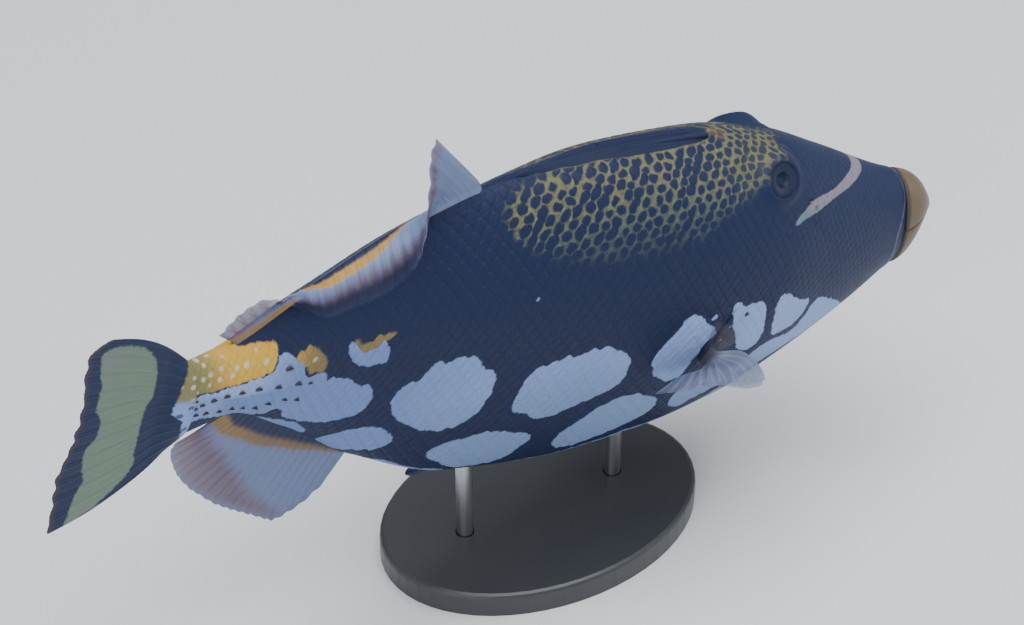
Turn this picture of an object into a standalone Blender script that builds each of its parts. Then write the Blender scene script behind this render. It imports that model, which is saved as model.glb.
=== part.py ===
"""Clown triggerfish, life size and still, swimming nose-down with its tail curved to the right,
held above a flat base by two short rods.

Blender 4.5 script, metres, +Z up. The fish heads toward +X and its left side is toward +Y.
The fish is first described straight, in fractions of its body length: x runs from 0 at the tail
root to 1 at the snout, y to its left and z up. It is then curved sideways and tilted into its pose.
"""
import math
import random

import bmesh
import bpy
from mathutils import Matrix, Vector

# Sizes of the whole fish
BODY_LENGTH = 0.25
NODE_GAP = 0.0003
GAP = NODE_GAP / BODY_LENGTH

# Pose: nose down, banked to the right, belly height above the ground
NOSE_DOWN = math.radians(12.5)
BANK_RIGHT = math.radians(3.5)
CENTRE_HEIGHT = 0.092

# Sideways curve of the spine: (x where it ends, curvature ahead of it)
CURVE_FRONT = 0.75
CURVE_MIDDLE = 0.30
CURVE_REAR = 0.07
BEND_TRUNK = -0.074
BEND_STALK = -1.522
BEND_TAIL = 0.323
SPINE_STEP = 0.0025
SPINE_STEPS = 560

# Outline of the straight fish as (x, value) pairs from the tail root forward
BACK_LINE = [(0.0, 0.0503), (0.06, 0.0447), (0.16, 0.0707), (0.28, 0.1217), (0.40, 0.1624),
             (0.52, 0.1789), (0.64, 0.1803), (0.73, 0.1672), (0.82, 0.1350), (0.90, 0.1018),
             (0.95, 0.0832), (0.985, 0.0660), (1.0, 0.0510), (1.006, 0.0420)]
BELLY_LINE = [(0.0, -0.0447), (0.06, -0.0480), (0.16, -0.1067), (0.28, -0.1944), (0.40, -0.2453),
              (0.52, -0.2543), (0.64, -0.2385), (0.73, -0.2107), (0.82, -0.1624), (0.90, -0.1065),
              (0.95, -0.0663), (0.985, -0.0375), (1.0, -0.0190), (1.006, -0.0060)]
HALF_WIDTH = [(0.0, 0.0172), (0.06, 0.0248), (0.16, 0.0382), (0.28, 0.0562), (0.40, 0.0728),
              (0.52, 0.0896), (0.64, 0.0986), (0.73, 0.0947), (0.82, 0.0752), (0.90, 0.0532),
              (0.95, 0.0372), (0.985, 0.0265), (1.0, 0.0175), (1.006, 0.0085)]
WIDEST_LEVEL = [(0.0, 0.0), (0.16, 0.005), (0.40, 0.015), (0.64, 0.010), (0.90, -0.003), (1.006, 0.014)]
BACK_ROUNDNESS = [(0.0, 2.0), (0.12, 1.7), (0.22, 1.5), (0.34, 1.5), (0.48, 1.9), (0.58, 2.0),
                  (1.006, 2.0)]
BELLY_ROUNDNESS = 1.75

# Where the body is parted
HEAD_REAR = 0.678
HEAD_FRONT = 0.961
SNOUT_TIP = 1.006
SNOUT_SLANT = 0.19
STALK_FRONT = 0.185

# Eyes
EYE_X = 0.716
EYE_SIDE = 0.0405
EYE_LEVEL = 0.1345
EYE_RADIUS = 0.0310
EYE_AIM = (0.04, 0.83, 0.56)
DOME_REACH = 0.050
DOME_RISE = 0.0045
LID_PROFILE = [(0.0334, -0.0120), (0.0340, 0.0070), (0.0318, 0.0146), (0.0280, 0.0190),
               (0.0236, 0.0217)]

# Pelvic spine
PELVIC_X = 0.376

# Lips
LIP_SWELL = 0.0035
MOUTH_LEVEL = 0.018
MOUTH_RISE = 0.016
MOUTH_GAP = 0.0020

# Groove and folded first dorsal fin
GROOVE_FRONT = 0.652
GROOVE_REAR = 0.384
GROOVE_HALF_WIDTH = 0.0155
GROOVE_DEPTH = 0.0150
FOLDED_SPINES = 3

# Median fins: half-thicknesses in metres, shares of a ray's length from the root outward
FIN_ROOT_DEPTH = 0.005
ROOT_HALF = 0.0011
RIM_HALF = 0.00027
RIDGE_HALF = 0.00022
FIN_SHARES = [-1.0, 0.0, 0.10, 0.24, 0.42, 0.62, 0.82, 1.0]
SLOT_SHARES = [-1.0, 0.0, 0.16]
SLOT_COLUMNS = 7
DORSAL_RAYS = 24
DORSAL_FRONT = 0.358
DORSAL_REAR = 0.060
DORSAL_LENGTH = [(0.0, 0.110), (0.05, 0.107), (0.12, 0.092), (0.21, 0.073), (0.30, 0.062),
                 (0.50, 0.056), (0.73, 0.050), (0.93, 0.038), (1.0, 0.028)]
DORSAL_SWEEP = [(0.0, 46.0), (0.12, 44.0), (0.21, 36.0), (0.30, 24.0), (0.42, 18.0), (0.60, 30.0),
                (0.80, 38.0), (0.93, 43.0), (1.0, 52.0)]
DORSAL_LEAN = [(0.0, 4.0), (0.04, 13.0), (0.08, 25.0), (0.12, 43.0), (0.21, 82.0), (0.30, 103.0),
               (0.40, 115.0), (0.52, 110.0), (0.64, 94.0), (0.71, 72.0), (0.78, 36.0), (0.85, 6.0),
               (0.91, -6.0), (1.0, -3.0)]
ANAL_RAYS = 22
ANAL_FRONT = 0.262
ANAL_REAR = 0.060
ANAL_LENGTH = [(0.0, 0.050), (0.08, 0.083), (0.20, 0.110), (0.40, 0.113), (0.62, 0.107),
               (0.80, 0.094), (0.92, 0.077), (1.0, 0.058)]
ANAL_SWEEP = [(0.0, 27.0), (0.08, 24.0), (0.20, 24.0), (0.40, 30.0), (0.62, 42.0), (0.80, 62.0),
              (0.92, 76.0), (1.0, 82.0)]
ANAL_LEAN = [(0.0, 0.0), (0.40, -4.0), (0.70, -16.0), (1.0, -24.0)]

# Caudal fin
CAUDAL_RAYS = 12
CAUDAL_SHARES = [0.0, 0.10, 0.24, 0.42, 0.60, 0.78, 0.90, 1.0]
CAUDAL_BOW = 0.012
CAUDAL_EDGE_X = [(0.0, -0.110), (0.04, -0.127), (0.10, -0.135), (0.20, -0.1365), (0.40, -0.139),
                 (0.60, -0.149), (0.80, -0.155), (1.0, -0.156)]
CAUDAL_EDGE_Z = [(0.0, 0.122), (0.04, 0.120), (0.10, 0.108), (0.20, 0.084), (0.40, 0.036),
                 (0.60, -0.004), (0.80, -0.048), (1.0, -0.097)]
CAUDAL_SCALLOP = 0.0022
CAUDAL_FLEX = 0.004

# Pectoral fins
PECTORAL_RAYS = 10
PECTORAL_SHARES = [-1.0, 0.0, 0.12, 0.28, 0.52, 0.78, 1.0]
PECTORAL_SLOT_SHARES = [-1.0, 0.0, 0.14]
PECTORAL_ROOT_HALF = 0.0009
PECTORAL_RIDGE_HALF = 0.0002
PECTORAL_X = 0.661
PECTORAL_LEVEL = -0.062
PECTORAL_BASE = 0.024
PECTORAL_LENGTH = [(0.0, 0.072), (0.2, 0.085), (0.5, 0.090), (0.8, 0.085), (1.0, 0.075)]
PECTORAL_TURN = [(0.0, -22.0), (0.2, 2.0), (0.4, 22.0), (0.6, 39.0), (0.8, 56.0), (1.0, 76.0)]
PECTORAL_BOW = [(0.0, -72.0), (0.25, -38.0), (0.5, 0.0), (1.0, 0.0)]
PECTORAL_LIFT = [(0.0, 1.0), (0.2, 9.0), (0.5, 16.0), (0.8, 4.0), (1.0, -13.0)]

# Nostrils and gill slit: places on the flank as (x, z) and half sizes
NOSTRILS = [(0.766, 0.112), (0.776, 0.103)]
NOSTRIL_SIZE = (0.0034, 0.0026, 0.006)
GILL_PLACE = (0.6625, -0.020)
GILL_SIZE = (0.024, 0.0026, 0.010)
GILL_LEAN = 0.28

# Small armour
SCUTES = 6
SCUTE_FRONT = 0.646
SCUTE_TOP = 0.002
SCUTE_PITCH = 0.0185
SCUTE_SIZE = 0.0088
THORN_LENGTH = 0.0085
THORN_RADIUS = 0.0026
THORN_ROWS = [(0.012, 0.150, 11, -0.004, 0.002), (0.010, 0.138, 9, -0.020, -0.026),
              (0.098, 0.152, 3, 0.013, 0.018)]

# Stand
BASE_LENGTH = 0.100
BASE_WIDTH = 0.070
BASE_HEIGHT = 0.008
BASE_EDGE = 0.0012
BASE_SIDES = 56
ROD_RADIUS = 0.0025
ROD_DEPTH_IN_BODY = 0.009
ROD_DEPTH_IN_BASE = 0.005
ROD_FRONT_X = 0.640
ROD_REAR_X = 0.435

SEED = 11


# Curves and body form
def slope_list(pairs):
    """Slopes at each pair for a curve that never overshoots its points."""
    steps = [(b[0] - a[0], (b[1] - a[1]) / (b[0] - a[0])) for a, b in zip(pairs, pairs[1:])]
    slopes = [steps[0][1]]
    for (width_a, rise_a), (width_b, rise_b) in zip(steps, steps[1:]):
        if rise_a * rise_b <= 0.0:
            slopes.append(0.0)
        else:
            weight_a = 2.0 * width_b + width_a
            weight_b = width_b + 2.0 * width_a
            slopes.append((weight_a + weight_b) / (weight_a / rise_a + weight_b / rise_b))
    slopes.append(steps[-1][1])
    return slopes


def along(pairs, x):
    """Value at x of the smooth curve through the pairs."""
    x = min(max(x, pairs[0][0]), pairs[-1][0])
    slopes = slope_list(pairs)
    for i in range(len(pairs) - 1):
        if x <= pairs[i + 1][0]:
            break
    width = pairs[i + 1][0] - pairs[i][0]
    t = (x - pairs[i][0]) / width
    start = pairs[i][1] * (1.0 + 2.0 * t) * (1.0 - t) ** 2 + slopes[i] * width * t * (1.0 - t) ** 2
    finish = pairs[i + 1][1] * t * t * (3.0 - 2.0 * t) + slopes[i + 1] * width * t * t * (t - 1.0)
    return start + finish


def ease(low, high, x):
    """Smooth step from 0 at low to 1 at high."""
    t = min(max((x - low) / (high - low), 0.0), 1.0)
    return t * t * (3.0 - 2.0 * t)


def curvature(x):
    """Sideways curvature of the spine at x."""
    trunk = BEND_TRUNK * (1.0 - ease(CURVE_FRONT - 0.05, CURVE_FRONT + 0.05, x))
    trunk *= ease(CURVE_MIDDLE - 0.08, CURVE_MIDDLE + 0.08, x)
    stalk = BEND_STALK * (1.0 - ease(CURVE_MIDDLE - 0.08, CURVE_MIDDLE + 0.08, x))
    stalk *= ease(CURVE_REAR - 0.05, CURVE_REAR + 0.05, x)
    return trunk + stalk + BEND_TAIL * (1.0 - ease(CURVE_REAR - 0.05, CURVE_REAR + 0.05, x))


def spine_table():
    """Points along the curved spine from the snout back: (x, heading, place forward, place left)."""
    rows = []
    heading = 0.0
    forward = 1.0
    left = 0.0
    for i in range(SPINE_STEPS):
        x = 1.0 - i * SPINE_STEP
        rows.append((x, heading, forward, left))
        heading += curvature(x - 0.5 * SPINE_STEP) * SPINE_STEP
        forward -= math.cos(heading) * SPINE_STEP
        left += math.sin(heading) * SPINE_STEP
    return rows


SPINE = spine_table()
POSE = Matrix.Rotation(NOSE_DOWN, 3, "Y") @ Matrix.Rotation(BANK_RIGHT, 3, "X")


def curved(x, y, z):
    """Place of a point of the straight fish once it is curved and tilted, about its own middle."""
    place = (1.0 - x) / SPINE_STEP
    i = min(max(int(place), 0), len(SPINE) - 2)
    t = place - i
    near = SPINE[i]
    far = SPINE[i + 1]
    heading = near[1] + (far[1] - near[1]) * t
    forward = near[2] + (far[2] - near[2]) * t
    left = near[3] + (far[3] - near[3]) * t
    point = Vector((forward + y * math.sin(heading) - 0.5, left + y * math.cos(heading), z))
    return POSE @ point * BODY_LENGTH


def belly_spot(x):
    """Place of the belly's lowest line at x, about the fish's own middle."""
    return curved(x, 0.0, along(BELLY_LINE, x))


STAND_MIDDLE = (belly_spot(ROD_FRONT_X) + belly_spot(ROD_REAR_X)) * 0.5
FISH_PLACE = Vector((-STAND_MIDDLE.x, -STAND_MIDDLE.y, CENTRE_HEIGHT))


def posed(x, y, z):
    """World place in metres of a point given on the straight fish, with the stand's middle at x 0, y 0."""
    return curved(x, y, z) + FISH_PLACE


def skin_point(x, angle, swell=0.0):
    """Point on the straight body's skin at x, at an angle from its left over its back."""
    back = along(BACK_LINE, x) + swell
    belly = along(BELLY_LINE, x) - swell
    half = along(HALF_WIDTH, x) + swell
    level = along(WIDEST_LEVEL, x)
    side = math.cos(angle)
    rise = math.sin(angle)
    power = 2.0 / (along(BACK_ROUNDNESS, x) if rise >= 0.0 else BELLY_ROUNDNESS)
    y = half * math.copysign(abs(side) ** power, side)
    reach = back - level if rise >= 0.0 else level - belly
    z = level + reach * math.copysign(abs(rise) ** power, rise)
    return Vector((x, y, z))


def flank_side(x, z):
    """Half-width of the straight body at x and level z."""
    level = along(WIDEST_LEVEL, x)
    up = z >= level
    reach = along(BACK_LINE, x) - level if up else level - along(BELLY_LINE, x)
    power = along(BACK_ROUNDNESS, x) if up else BELLY_ROUNDNESS
    share = min(abs(z - level) / reach, 1.0)
    return along(HALF_WIDTH, x) * (1.0 - share ** power) ** (1.0 / power)


def flank_normal(x, z, side):
    """Outward direction of the straight body's skin at x and level z on one side."""
    step = 0.004
    slope_z = (flank_side(x, z + step) - flank_side(x, z - step)) / (2.0 * step)
    slope_x = (flank_side(x + step, z) - flank_side(x - step, z)) / (2.0 * step)
    return Vector((-slope_x, side, -slope_z)).normalized()


# Mesh helpers
def finished(name, mesh_data, material, sharp_degrees=40.0):
    """Named object from a bmesh, origin at its middle, faces outward and round parts smooth."""
    bmesh.ops.recalc_face_normals(mesh_data, faces=mesh_data.faces)
    middle = Vector((0.0, 0.0, 0.0))
    for vert in mesh_data.verts:
        middle += vert.co
    middle /= len(mesh_data.verts)
    for vert in mesh_data.verts:
        vert.co -= middle
    mesh = bpy.data.meshes.new(name)
    mesh_data.to_mesh(mesh)
    mesh_data.free()
    mesh.shade_smooth()
    mesh.set_sharp_from_angle(angle=math.radians(sharp_degrees))
    made = bpy.data.objects.new(name, mesh)
    made.location = middle
    bpy.context.scene.collection.objects.link(made)
    if material is not None:
        mesh.materials.append(material)
    return made


def rings_to_body(rings):
    """Closed bmesh through rings of world points, with flat ends."""
    made = bmesh.new()
    rows = [[made.verts.new(point) for point in ring] for ring in rings]
    count = len(rows[0])
    for row, following in zip(rows, rows[1:]):
        for i in range(count):
            j = (i + 1) % count
            made.faces.new((row[i], row[j], following[j], following[i]))
    made.faces.new(rows[0])
    made.faces.new(list(reversed(rows[-1])))
    return made


def spread(start, finish, count):
    """Even steps from start to finish, both kept."""
    return [start + (finish - start) * i / (count - 1) for i in range(count)]


def slanted_point(x, angle, slant):
    """Skin point on a station plane that leans back by the slant above the mouth's level."""
    point = skin_point(x, angle)
    for _ in range(4):
        point = skin_point(x - slant * (point.z - MOUTH_LEVEL), angle)
    return point


def body_length(start, finish, ring_count, side_count, relief, slant=0.0):
    """Closed length of the body between two stations, with relief added along the skin's outward way."""
    rings = []
    for x in spread(start, finish, ring_count):
        ring = []
        lean = slant * ease(finish, start, x) if slant else 0.0
        for k in range(side_count):
            angle = 2.0 * math.pi * k / side_count
            point = slanted_point(x, angle, lean)
            rise = relief(point)
            if rise:
                ahead = skin_point(point.x, angle + 0.02)
                behind = skin_point(point.x, angle - 0.02)
                run = ahead - behind
                point += Vector((0.0, run.z, -run.y)).normalized() * rise
            ring.append(posed(*point))
        rings.append(ring)
    return rings_to_body(rings)


def union_all(target, pieces):
    """Joins closed pieces to the target body and removes them."""
    group = bpy.data.collections.new(target.name + " pieces")
    bpy.context.scene.collection.children.link(group)
    for piece in pieces:
        bpy.context.scene.collection.objects.unlink(piece)
        group.objects.link(piece)
    apply_boolean(target, group, "UNION")


def cut_all(target, cutters):
    """Cuts closed cutters out of the target body and removes them."""
    group = bpy.data.collections.new(target.name + " cutters")
    bpy.context.scene.collection.children.link(group)
    for cutter in cutters:
        cutter.hide_render = True
        cutter.display_type = "WIRE"
        bpy.context.scene.collection.objects.unlink(cutter)
        group.objects.link(cutter)
    apply_boolean(target, group, "DIFFERENCE")


def apply_boolean(target, group, operation):
    """Applies one Boolean with a collection, keeps the largest closed surface and tidies up."""
    change = target.modifiers.new("shape", "BOOLEAN")
    change.operation = operation
    change.solver = "EXACT"
    change.operand_type = "COLLECTION"
    change.collection = group
    depsgraph = bpy.context.evaluated_depsgraph_get()
    mesh = bpy.data.meshes.new_from_object(target.evaluated_get(depsgraph))
    target.modifiers.clear()
    previous = target.data
    material = previous.materials[0]
    target.data = mesh
    bpy.data.meshes.remove(previous)
    for piece in list(group.objects):
        bpy.data.objects.remove(piece)
    bpy.data.collections.remove(group)
    keep_largest(mesh)
    mesh.materials.clear()
    mesh.materials.append(material)
    mesh.name = target.name


def keep_largest(mesh):
    """Leaves only the mesh's largest connected surface."""
    work = bmesh.new()
    work.from_mesh(mesh)
    bmesh.ops.remove_doubles(work, verts=work.verts, dist=0.000002)
    unseen = set(work.verts)
    largest = set()
    while unseen:
        seed = unseen.pop()
        found = {seed}
        edge_of_search = [seed]
        while edge_of_search:
            vert = edge_of_search.pop()
            for edge in vert.link_edges:
                other = edge.other_vert(vert)
                if other not in found:
                    found.add(other)
                    edge_of_search.append(other)
        unseen -= found
        if len(found) > len(largest):
            largest = found
    spare = [vert for vert in work.verts if vert not in largest]
    bmesh.ops.delete(work, geom=spare, context="VERTS")
    bmesh.ops.triangulate(work, faces=work.faces)
    for face in work.faces:
        face.material_index = 0
        face.smooth = True
    work.to_mesh(mesh)
    work.free()
    mesh.set_sharp_from_angle(angle=math.radians(40.0))


def paint(name, colour, roughness, metallic=0.0):
    """Plain surface of one colour."""
    made = bpy.data.materials.new(name)
    made.use_nodes = True
    surface = made.node_tree.nodes["Principled BSDF"]
    surface.inputs["Base Color"].default_value = (*colour, 1.0)
    surface.inputs["Roughness"].default_value = roughness
    surface.inputs["Metallic"].default_value = metallic
    made.diffuse_color = (*colour, 1.0)
    return made


def ellipsoid(name, centre, axes, radii, segments=12, rings=8):
    """Closed ellipsoid on the straight fish, posed with it; axes are three unit directions."""
    made = bmesh.new()
    bmesh.ops.create_uvsphere(made, u_segments=segments, v_segments=rings, radius=1.0)
    for vert in made.verts:
        local = vert.co
        point = Vector(centre)
        for axis, radius, amount in zip(axes, radii, local):
            point += axis * (radius * amount)
        vert.co = posed(*point)
    return finished(name, made, None)


def frame_of(normal, toward=Vector((1.0, 0.0, 0.0))):
    """Two directions along a surface and its outward direction."""
    first = (toward - normal * toward.dot(normal)).normalized()
    return first, normal.cross(first).normalized(), normal


# Fins
def sheet_body(rows, half_thickness, clearance=0.0):
    """Closed thin body about a grid of world points; rows run from the root outward."""
    made = bmesh.new()
    sides = []
    deep = len(rows)
    wide = len(rows[0])
    for sign in (1.0, -1.0):
        grid = []
        for i in range(deep):
            line = []
            for j in range(wide):
                along_row = rows[i][min(j + 1, wide - 1)] - rows[i][max(j - 1, 0)]
                along_ray = rows[min(i + 1, deep - 1)][j] - rows[max(i - 1, 0)][j]
                outward = along_row.cross(along_ray).normalized()
                offset = half_thickness[i][j] + clearance
                line.append(made.verts.new(rows[i][j] + outward * offset * sign))
            grid.append(line)
        sides.append(grid)
    for grid in sides:
        for i in range(deep - 1):
            for j in range(wide - 1):
                made.faces.new((grid[i][j], grid[i][j + 1], grid[i + 1][j + 1]))
                made.faces.new((grid[i][j], grid[i + 1][j + 1], grid[i + 1][j]))
    upper, lower = sides
    for i in range(deep - 1):
        for j in (0, wide - 1):
            made.faces.new((upper[i][j], upper[i + 1][j], lower[i + 1][j], lower[i][j]))
    for j in range(wide - 1):
        for i in (0, deep - 1):
            made.faces.new((upper[i][j], upper[i][j + 1], lower[i][j + 1], lower[i][j]))
    return made


def median_fin_rows(front, rear, line, outward, length, sweep, lean, ray_count, shares):
    """Grid of world points for a fin along the back or belly, with two columns for each ray space."""
    columns = 2 * ray_count - 1
    rows = []
    spots = []
    for share in shares:
        row = []
        for j in range(columns):
            u = j / (columns - 1)
            x = front + (rear - front) * u
            reach = along(length, u)
            back_angle = math.radians(along(sweep, u))
            full_lean = math.radians(along(lean, u))
            z = along(line, x)
            point = Vector((x, 0.0, z))
            if share < 0.0:
                point += Vector((0.0, 0.0, outward * share * FIN_ROOT_DEPTH))
            steps = 8
            for k in range(steps):
                part = max(share, 0.0) * (k + 0.5) / steps
                tilt = full_lean * ease(0.0, 0.42, part)
                turn = back_angle * ease(-0.15, 0.20, part)
                move = Vector((-math.sin(turn), -math.sin(tilt) * math.cos(turn),
                               outward * math.cos(tilt) * math.cos(turn)))
                point += move * (reach * max(share, 0.0) / steps)
            row.append(posed(*point))
        rows.append(row)
        spots.append(share)
    return rows


def fin_thickness(rows, shares, root_half, edge_half, ridge_half):
    """Half-thickness over a fin's grid: thick at the root, thin at the rim, raised on each ray."""
    thickness = []
    for share in shares:
        t = max(share, 0.0)
        membrane = edge_half + (root_half - edge_half) * (1.0 - t) ** 3
        ridge = ridge_half * (1.0 - 0.7 * t) * ease(0.0, 0.12, t)
        thickness.append([membrane + (ridge if j % 2 == 0 else 0.0) for j in range(len(rows[0]))])
    return thickness


def median_fin(name, settings, material):
    """One median fin and the slot that its root needs in the body."""
    rows = median_fin_rows(*settings, FIN_SHARES)
    made = sheet_body(rows, fin_thickness(rows, FIN_SHARES, ROOT_HALF, RIM_HALF, RIDGE_HALF))
    fin = finished(name, made, material)
    front, rear, line, outward, length, sweep, lean, ray_count = settings
    slack = 1.3 * GAP
    wider = (front + slack, rear - slack, line, outward, length, sweep, lean, SLOT_COLUMNS)
    slot_rows = median_fin_rows(*wider, SLOT_SHARES)
    floor = POSE @ Vector((0.0, 0.0, -outward * NODE_GAP))
    slot_rows[0] = [point + floor for point in slot_rows[0]]
    slot_half = fin_thickness(slot_rows, SLOT_SHARES, ROOT_HALF, RIM_HALF, RIDGE_HALF)
    slot = finished(name + " slot", sheet_body(slot_rows, slot_half, NODE_GAP), None)
    return fin, slot


def caudal_fin(material):
    """Fan of the tail, its root face against the stalk's end."""
    columns = 2 * CAUDAL_RAYS - 1
    rows = []
    thickness = []
    stalk_half = along(HALF_WIDTH, 0.0)
    top = along(BACK_LINE, 0.0)
    low = along(BELLY_LINE, 0.0)
    for share in CAUDAL_SHARES:
        row = []
        halves = []
        for j in range(columns):
            u = j / (columns - 1)
            across = 2.0 * u - 1.0
            root = Vector((-GAP, 0.0, top + (low - top) * u))
            tip_x = along(CAUDAL_EDGE_X, u) + (CAUDAL_SCALLOP if j % 2 else 0.0)
            point = root.lerp(Vector((tip_x, 0.0, along(CAUDAL_EDGE_Z, u))), share)
            point.z -= CAUDAL_BOW * math.sin(math.pi * share) * across
            point.y += CAUDAL_FLEX * share * share
            row.append(posed(*point))
            oval = max(math.sqrt(max(1.0 - across * across, 0.0)), 0.09)
            membrane = RIM_HALF + 0.0005 * (1.0 - share) ** 2
            ridge = 0.00028 * (1.0 - 0.6 * share) if j % 2 == 0 else 0.0
            blend = ease(0.0, 0.30, share)
            root_half = stalk_half * BODY_LENGTH * oval
            halves.append(root_half * (1.0 - blend) + (membrane + ridge) * blend)
        rows.append(row)
        thickness.append(halves)
    return finished("caudal_fin", sheet_body(rows, thickness), material)


def pectoral_rows(side, shares):
    """Grid for a spread pectoral fin on one side, swept from sideways to backward."""
    columns = 2 * PECTORAL_RAYS - 1
    rows = []
    for share in shares:
        row = []
        for j in range(columns):
            u = j / (columns - 1)
            x = PECTORAL_X - 0.004 * u
            z = PECTORAL_LEVEL + PECTORAL_BASE * (0.5 - u)
            point = Vector((x, side * flank_side(x, z), z))
            normal = flank_normal(x, z, side)
            if share < 0.0:
                point += normal * (share * FIN_ROOT_DEPTH)
            else:
                bow = along(PECTORAL_BOW, u) * (1.0 - share)
                turn = math.radians(along(PECTORAL_TURN, u) + bow)
                lift = math.radians(along(PECTORAL_LIFT, u))
                away = Vector((-math.sin(turn) * math.cos(lift), side * math.cos(turn) * math.cos(lift),
                               math.sin(lift)))
                blend = ease(-0.1, 0.5, share)
                point += (normal * (1.0 - blend) + away * blend) * (along(PECTORAL_LENGTH, u) * share)
            row.append(posed(*point))
        rows.append(row)
    return rows


def pectoral_fin(name, side, material):
    """One pectoral fin and the slot for its root."""
    halves = (PECTORAL_ROOT_HALF, RIM_HALF, PECTORAL_RIDGE_HALF)
    rows = pectoral_rows(side, PECTORAL_SHARES)
    fin = finished(name, sheet_body(rows, fin_thickness(rows, PECTORAL_SHARES, *halves)), material)
    slot_rows = pectoral_rows(side, PECTORAL_SLOT_SHARES)
    slot_rows = [widened(row, 1.3 * NODE_GAP) for row in slot_rows]
    inward = (slot_rows[0][0] - slot_rows[1][0]).normalized() * NODE_GAP
    slot_rows[0] = [point + inward for point in slot_rows[0]]
    slot_half = fin_thickness(slot_rows, PECTORAL_SLOT_SHARES, *halves)
    slot = finished(name + " slot", sheet_body(slot_rows, slot_half, NODE_GAP), None)
    return fin, slot


def widened(row, amount):
    """Row of points pushed out a little at both ends."""
    first = row[0] + (row[0] - row[1]).normalized() * amount
    last = row[-1] + (row[-1] - row[-2]).normalized() * amount
    return [first] + row[1:-1] + [last]


# Relief in the head and trunk
def head_relief(point):
    """Low dome about each eye."""
    rise = 0.0
    for side in (1.0, -1.0):
        away = (point - Vector((EYE_X, side * (EYE_SIDE + 0.014), EYE_LEVEL + 0.010))).length / DOME_REACH
        if away < 1.0:
            rise += DOME_RISE * (1.0 - away * away) ** 2
    return rise


def no_relief(point):
    """Plain skin."""
    return 0.0


def eye_aim(side):
    """Direction the eye on one side looks in."""
    return Vector((EYE_AIM[0], EYE_AIM[1] * side, EYE_AIM[2])).normalized()


def eye_centre(side):
    """Middle of the eyeball on one side."""
    return Vector((EYE_X, EYE_SIDE * side, EYE_LEVEL))


def lid_turret(side):
    """Low round turret of skin about the eye, closed across the middle."""
    first, second, aim = frame_of(eye_aim(side))
    sides = 24
    loops = []
    for reach, height in LID_PROFILE:
        loop = []
        for k in range(sides):
            turn = 2.0 * math.pi * k / sides
            spoke = first * math.cos(turn) + second * math.sin(turn)
            loop.append(posed(*(eye_centre(side) + spoke * reach + aim * height)))
        loops.append(loop)
    return finished("lid", rings_to_body(loops), None)


def nostrils(side):
    """Cutters for the two small nostrils ahead of an eye."""
    cutters = []
    for x, z in NOSTRILS:
        normal = flank_normal(x, z, side)
        centre = Vector((x, side * flank_side(x, z), z))
        cutters.append(ellipsoid("nostril", centre, frame_of(normal), NOSTRIL_SIZE, 8, 6))
    return cutters


def gill_slit(side):
    """Cutter for the short gill slit above the pectoral fin's root."""
    x, z = GILL_PLACE
    normal = flank_normal(x, z, side)
    centre = Vector((x, side * flank_side(x, z), z))
    lean = Vector((GILL_LEAN, 0.0, 1.0)).normalized()
    first, second, outward = frame_of(normal, lean)
    return ellipsoid("gill slit", centre, (first, second, outward), GILL_SIZE, 14, 8)


def scutes(side):
    """Raised bony plates behind the gill slit."""
    places = []
    for k in range(SCUTES):
        row = k % 2
        step = k // 2
        x = SCUTE_FRONT - 0.0150 * row - 0.002 * step
        z = SCUTE_TOP - SCUTE_PITCH * step - 0.008 * row
        normal = flank_normal(x, z, side)
        centre = Vector((x, side * flank_side(x, z), z)) - normal * 0.0006
        size = SCUTE_SIZE - 0.0008 * row
        places.append(ellipsoid("scute", centre, frame_of(normal), (size * 0.72, size, 0.0028), 8, 6))
    return places


def thorn(x, z, side, size):
    """One small forward-curving thorn on the tail stalk."""
    normal = flank_normal(x, z, side)
    first, second, outward = frame_of(normal)
    root = Vector((x, side * flank_side(x, z), z)) - outward * 0.0030
    sides = 4
    made = bmesh.new()
    rings = []
    for rise, forward, radius in ((0.0, 0.0, 1.0), (0.0048, 0.0006, 0.72)):
        ring = []
        for k in range(sides):
            turn = 2.0 * math.pi * k / sides
            spoke = first * math.cos(turn) + second * math.sin(turn)
            point = root + outward * rise * size + first * forward + spoke * (THORN_RADIUS * radius * size)
            ring.append(made.verts.new(posed(*point)))
        rings.append(ring)
    tip = made.verts.new(posed(*(root + outward * THORN_LENGTH * size + first * 0.0052 * size)))
    for k in range(sides):
        m = (k + 1) % sides
        made.faces.new((rings[0][k], rings[0][m], rings[1][m], rings[1][k]))
        made.faces.new((rings[1][k], rings[1][m], tip))
    made.faces.new(list(reversed(rings[0])))
    return finished("thorn", made, None)


def tail_thorns():
    """Rows of thorns on both sides of the tail stalk."""
    rng = random.Random(SEED)
    made = []
    for side in (1.0, -1.0):
        for start, finish, count, level_rear, level_front in THORN_ROWS:
            for k in range(count):
                t = k / (count - 1)
                x = start + (finish - start) * t + rng.uniform(-0.0015, 0.0015)
                z = level_rear + (level_front - level_rear) * t + rng.uniform(-0.0010, 0.0010)
                made.append(thorn(x, z, side, rng.uniform(0.88, 1.08)))
    return made


def groove_width(x):
    """Half-width of the groove on the back, a long lens fuller toward the front."""
    t = (GROOVE_FRONT - x) / (GROOVE_FRONT - GROOVE_REAR)
    if t <= 0.0 or t >= 1.0:
        return 0.0
    return GROOVE_HALF_WIDTH * (math.sin(math.pi * t ** 0.72)) ** 0.75


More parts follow.
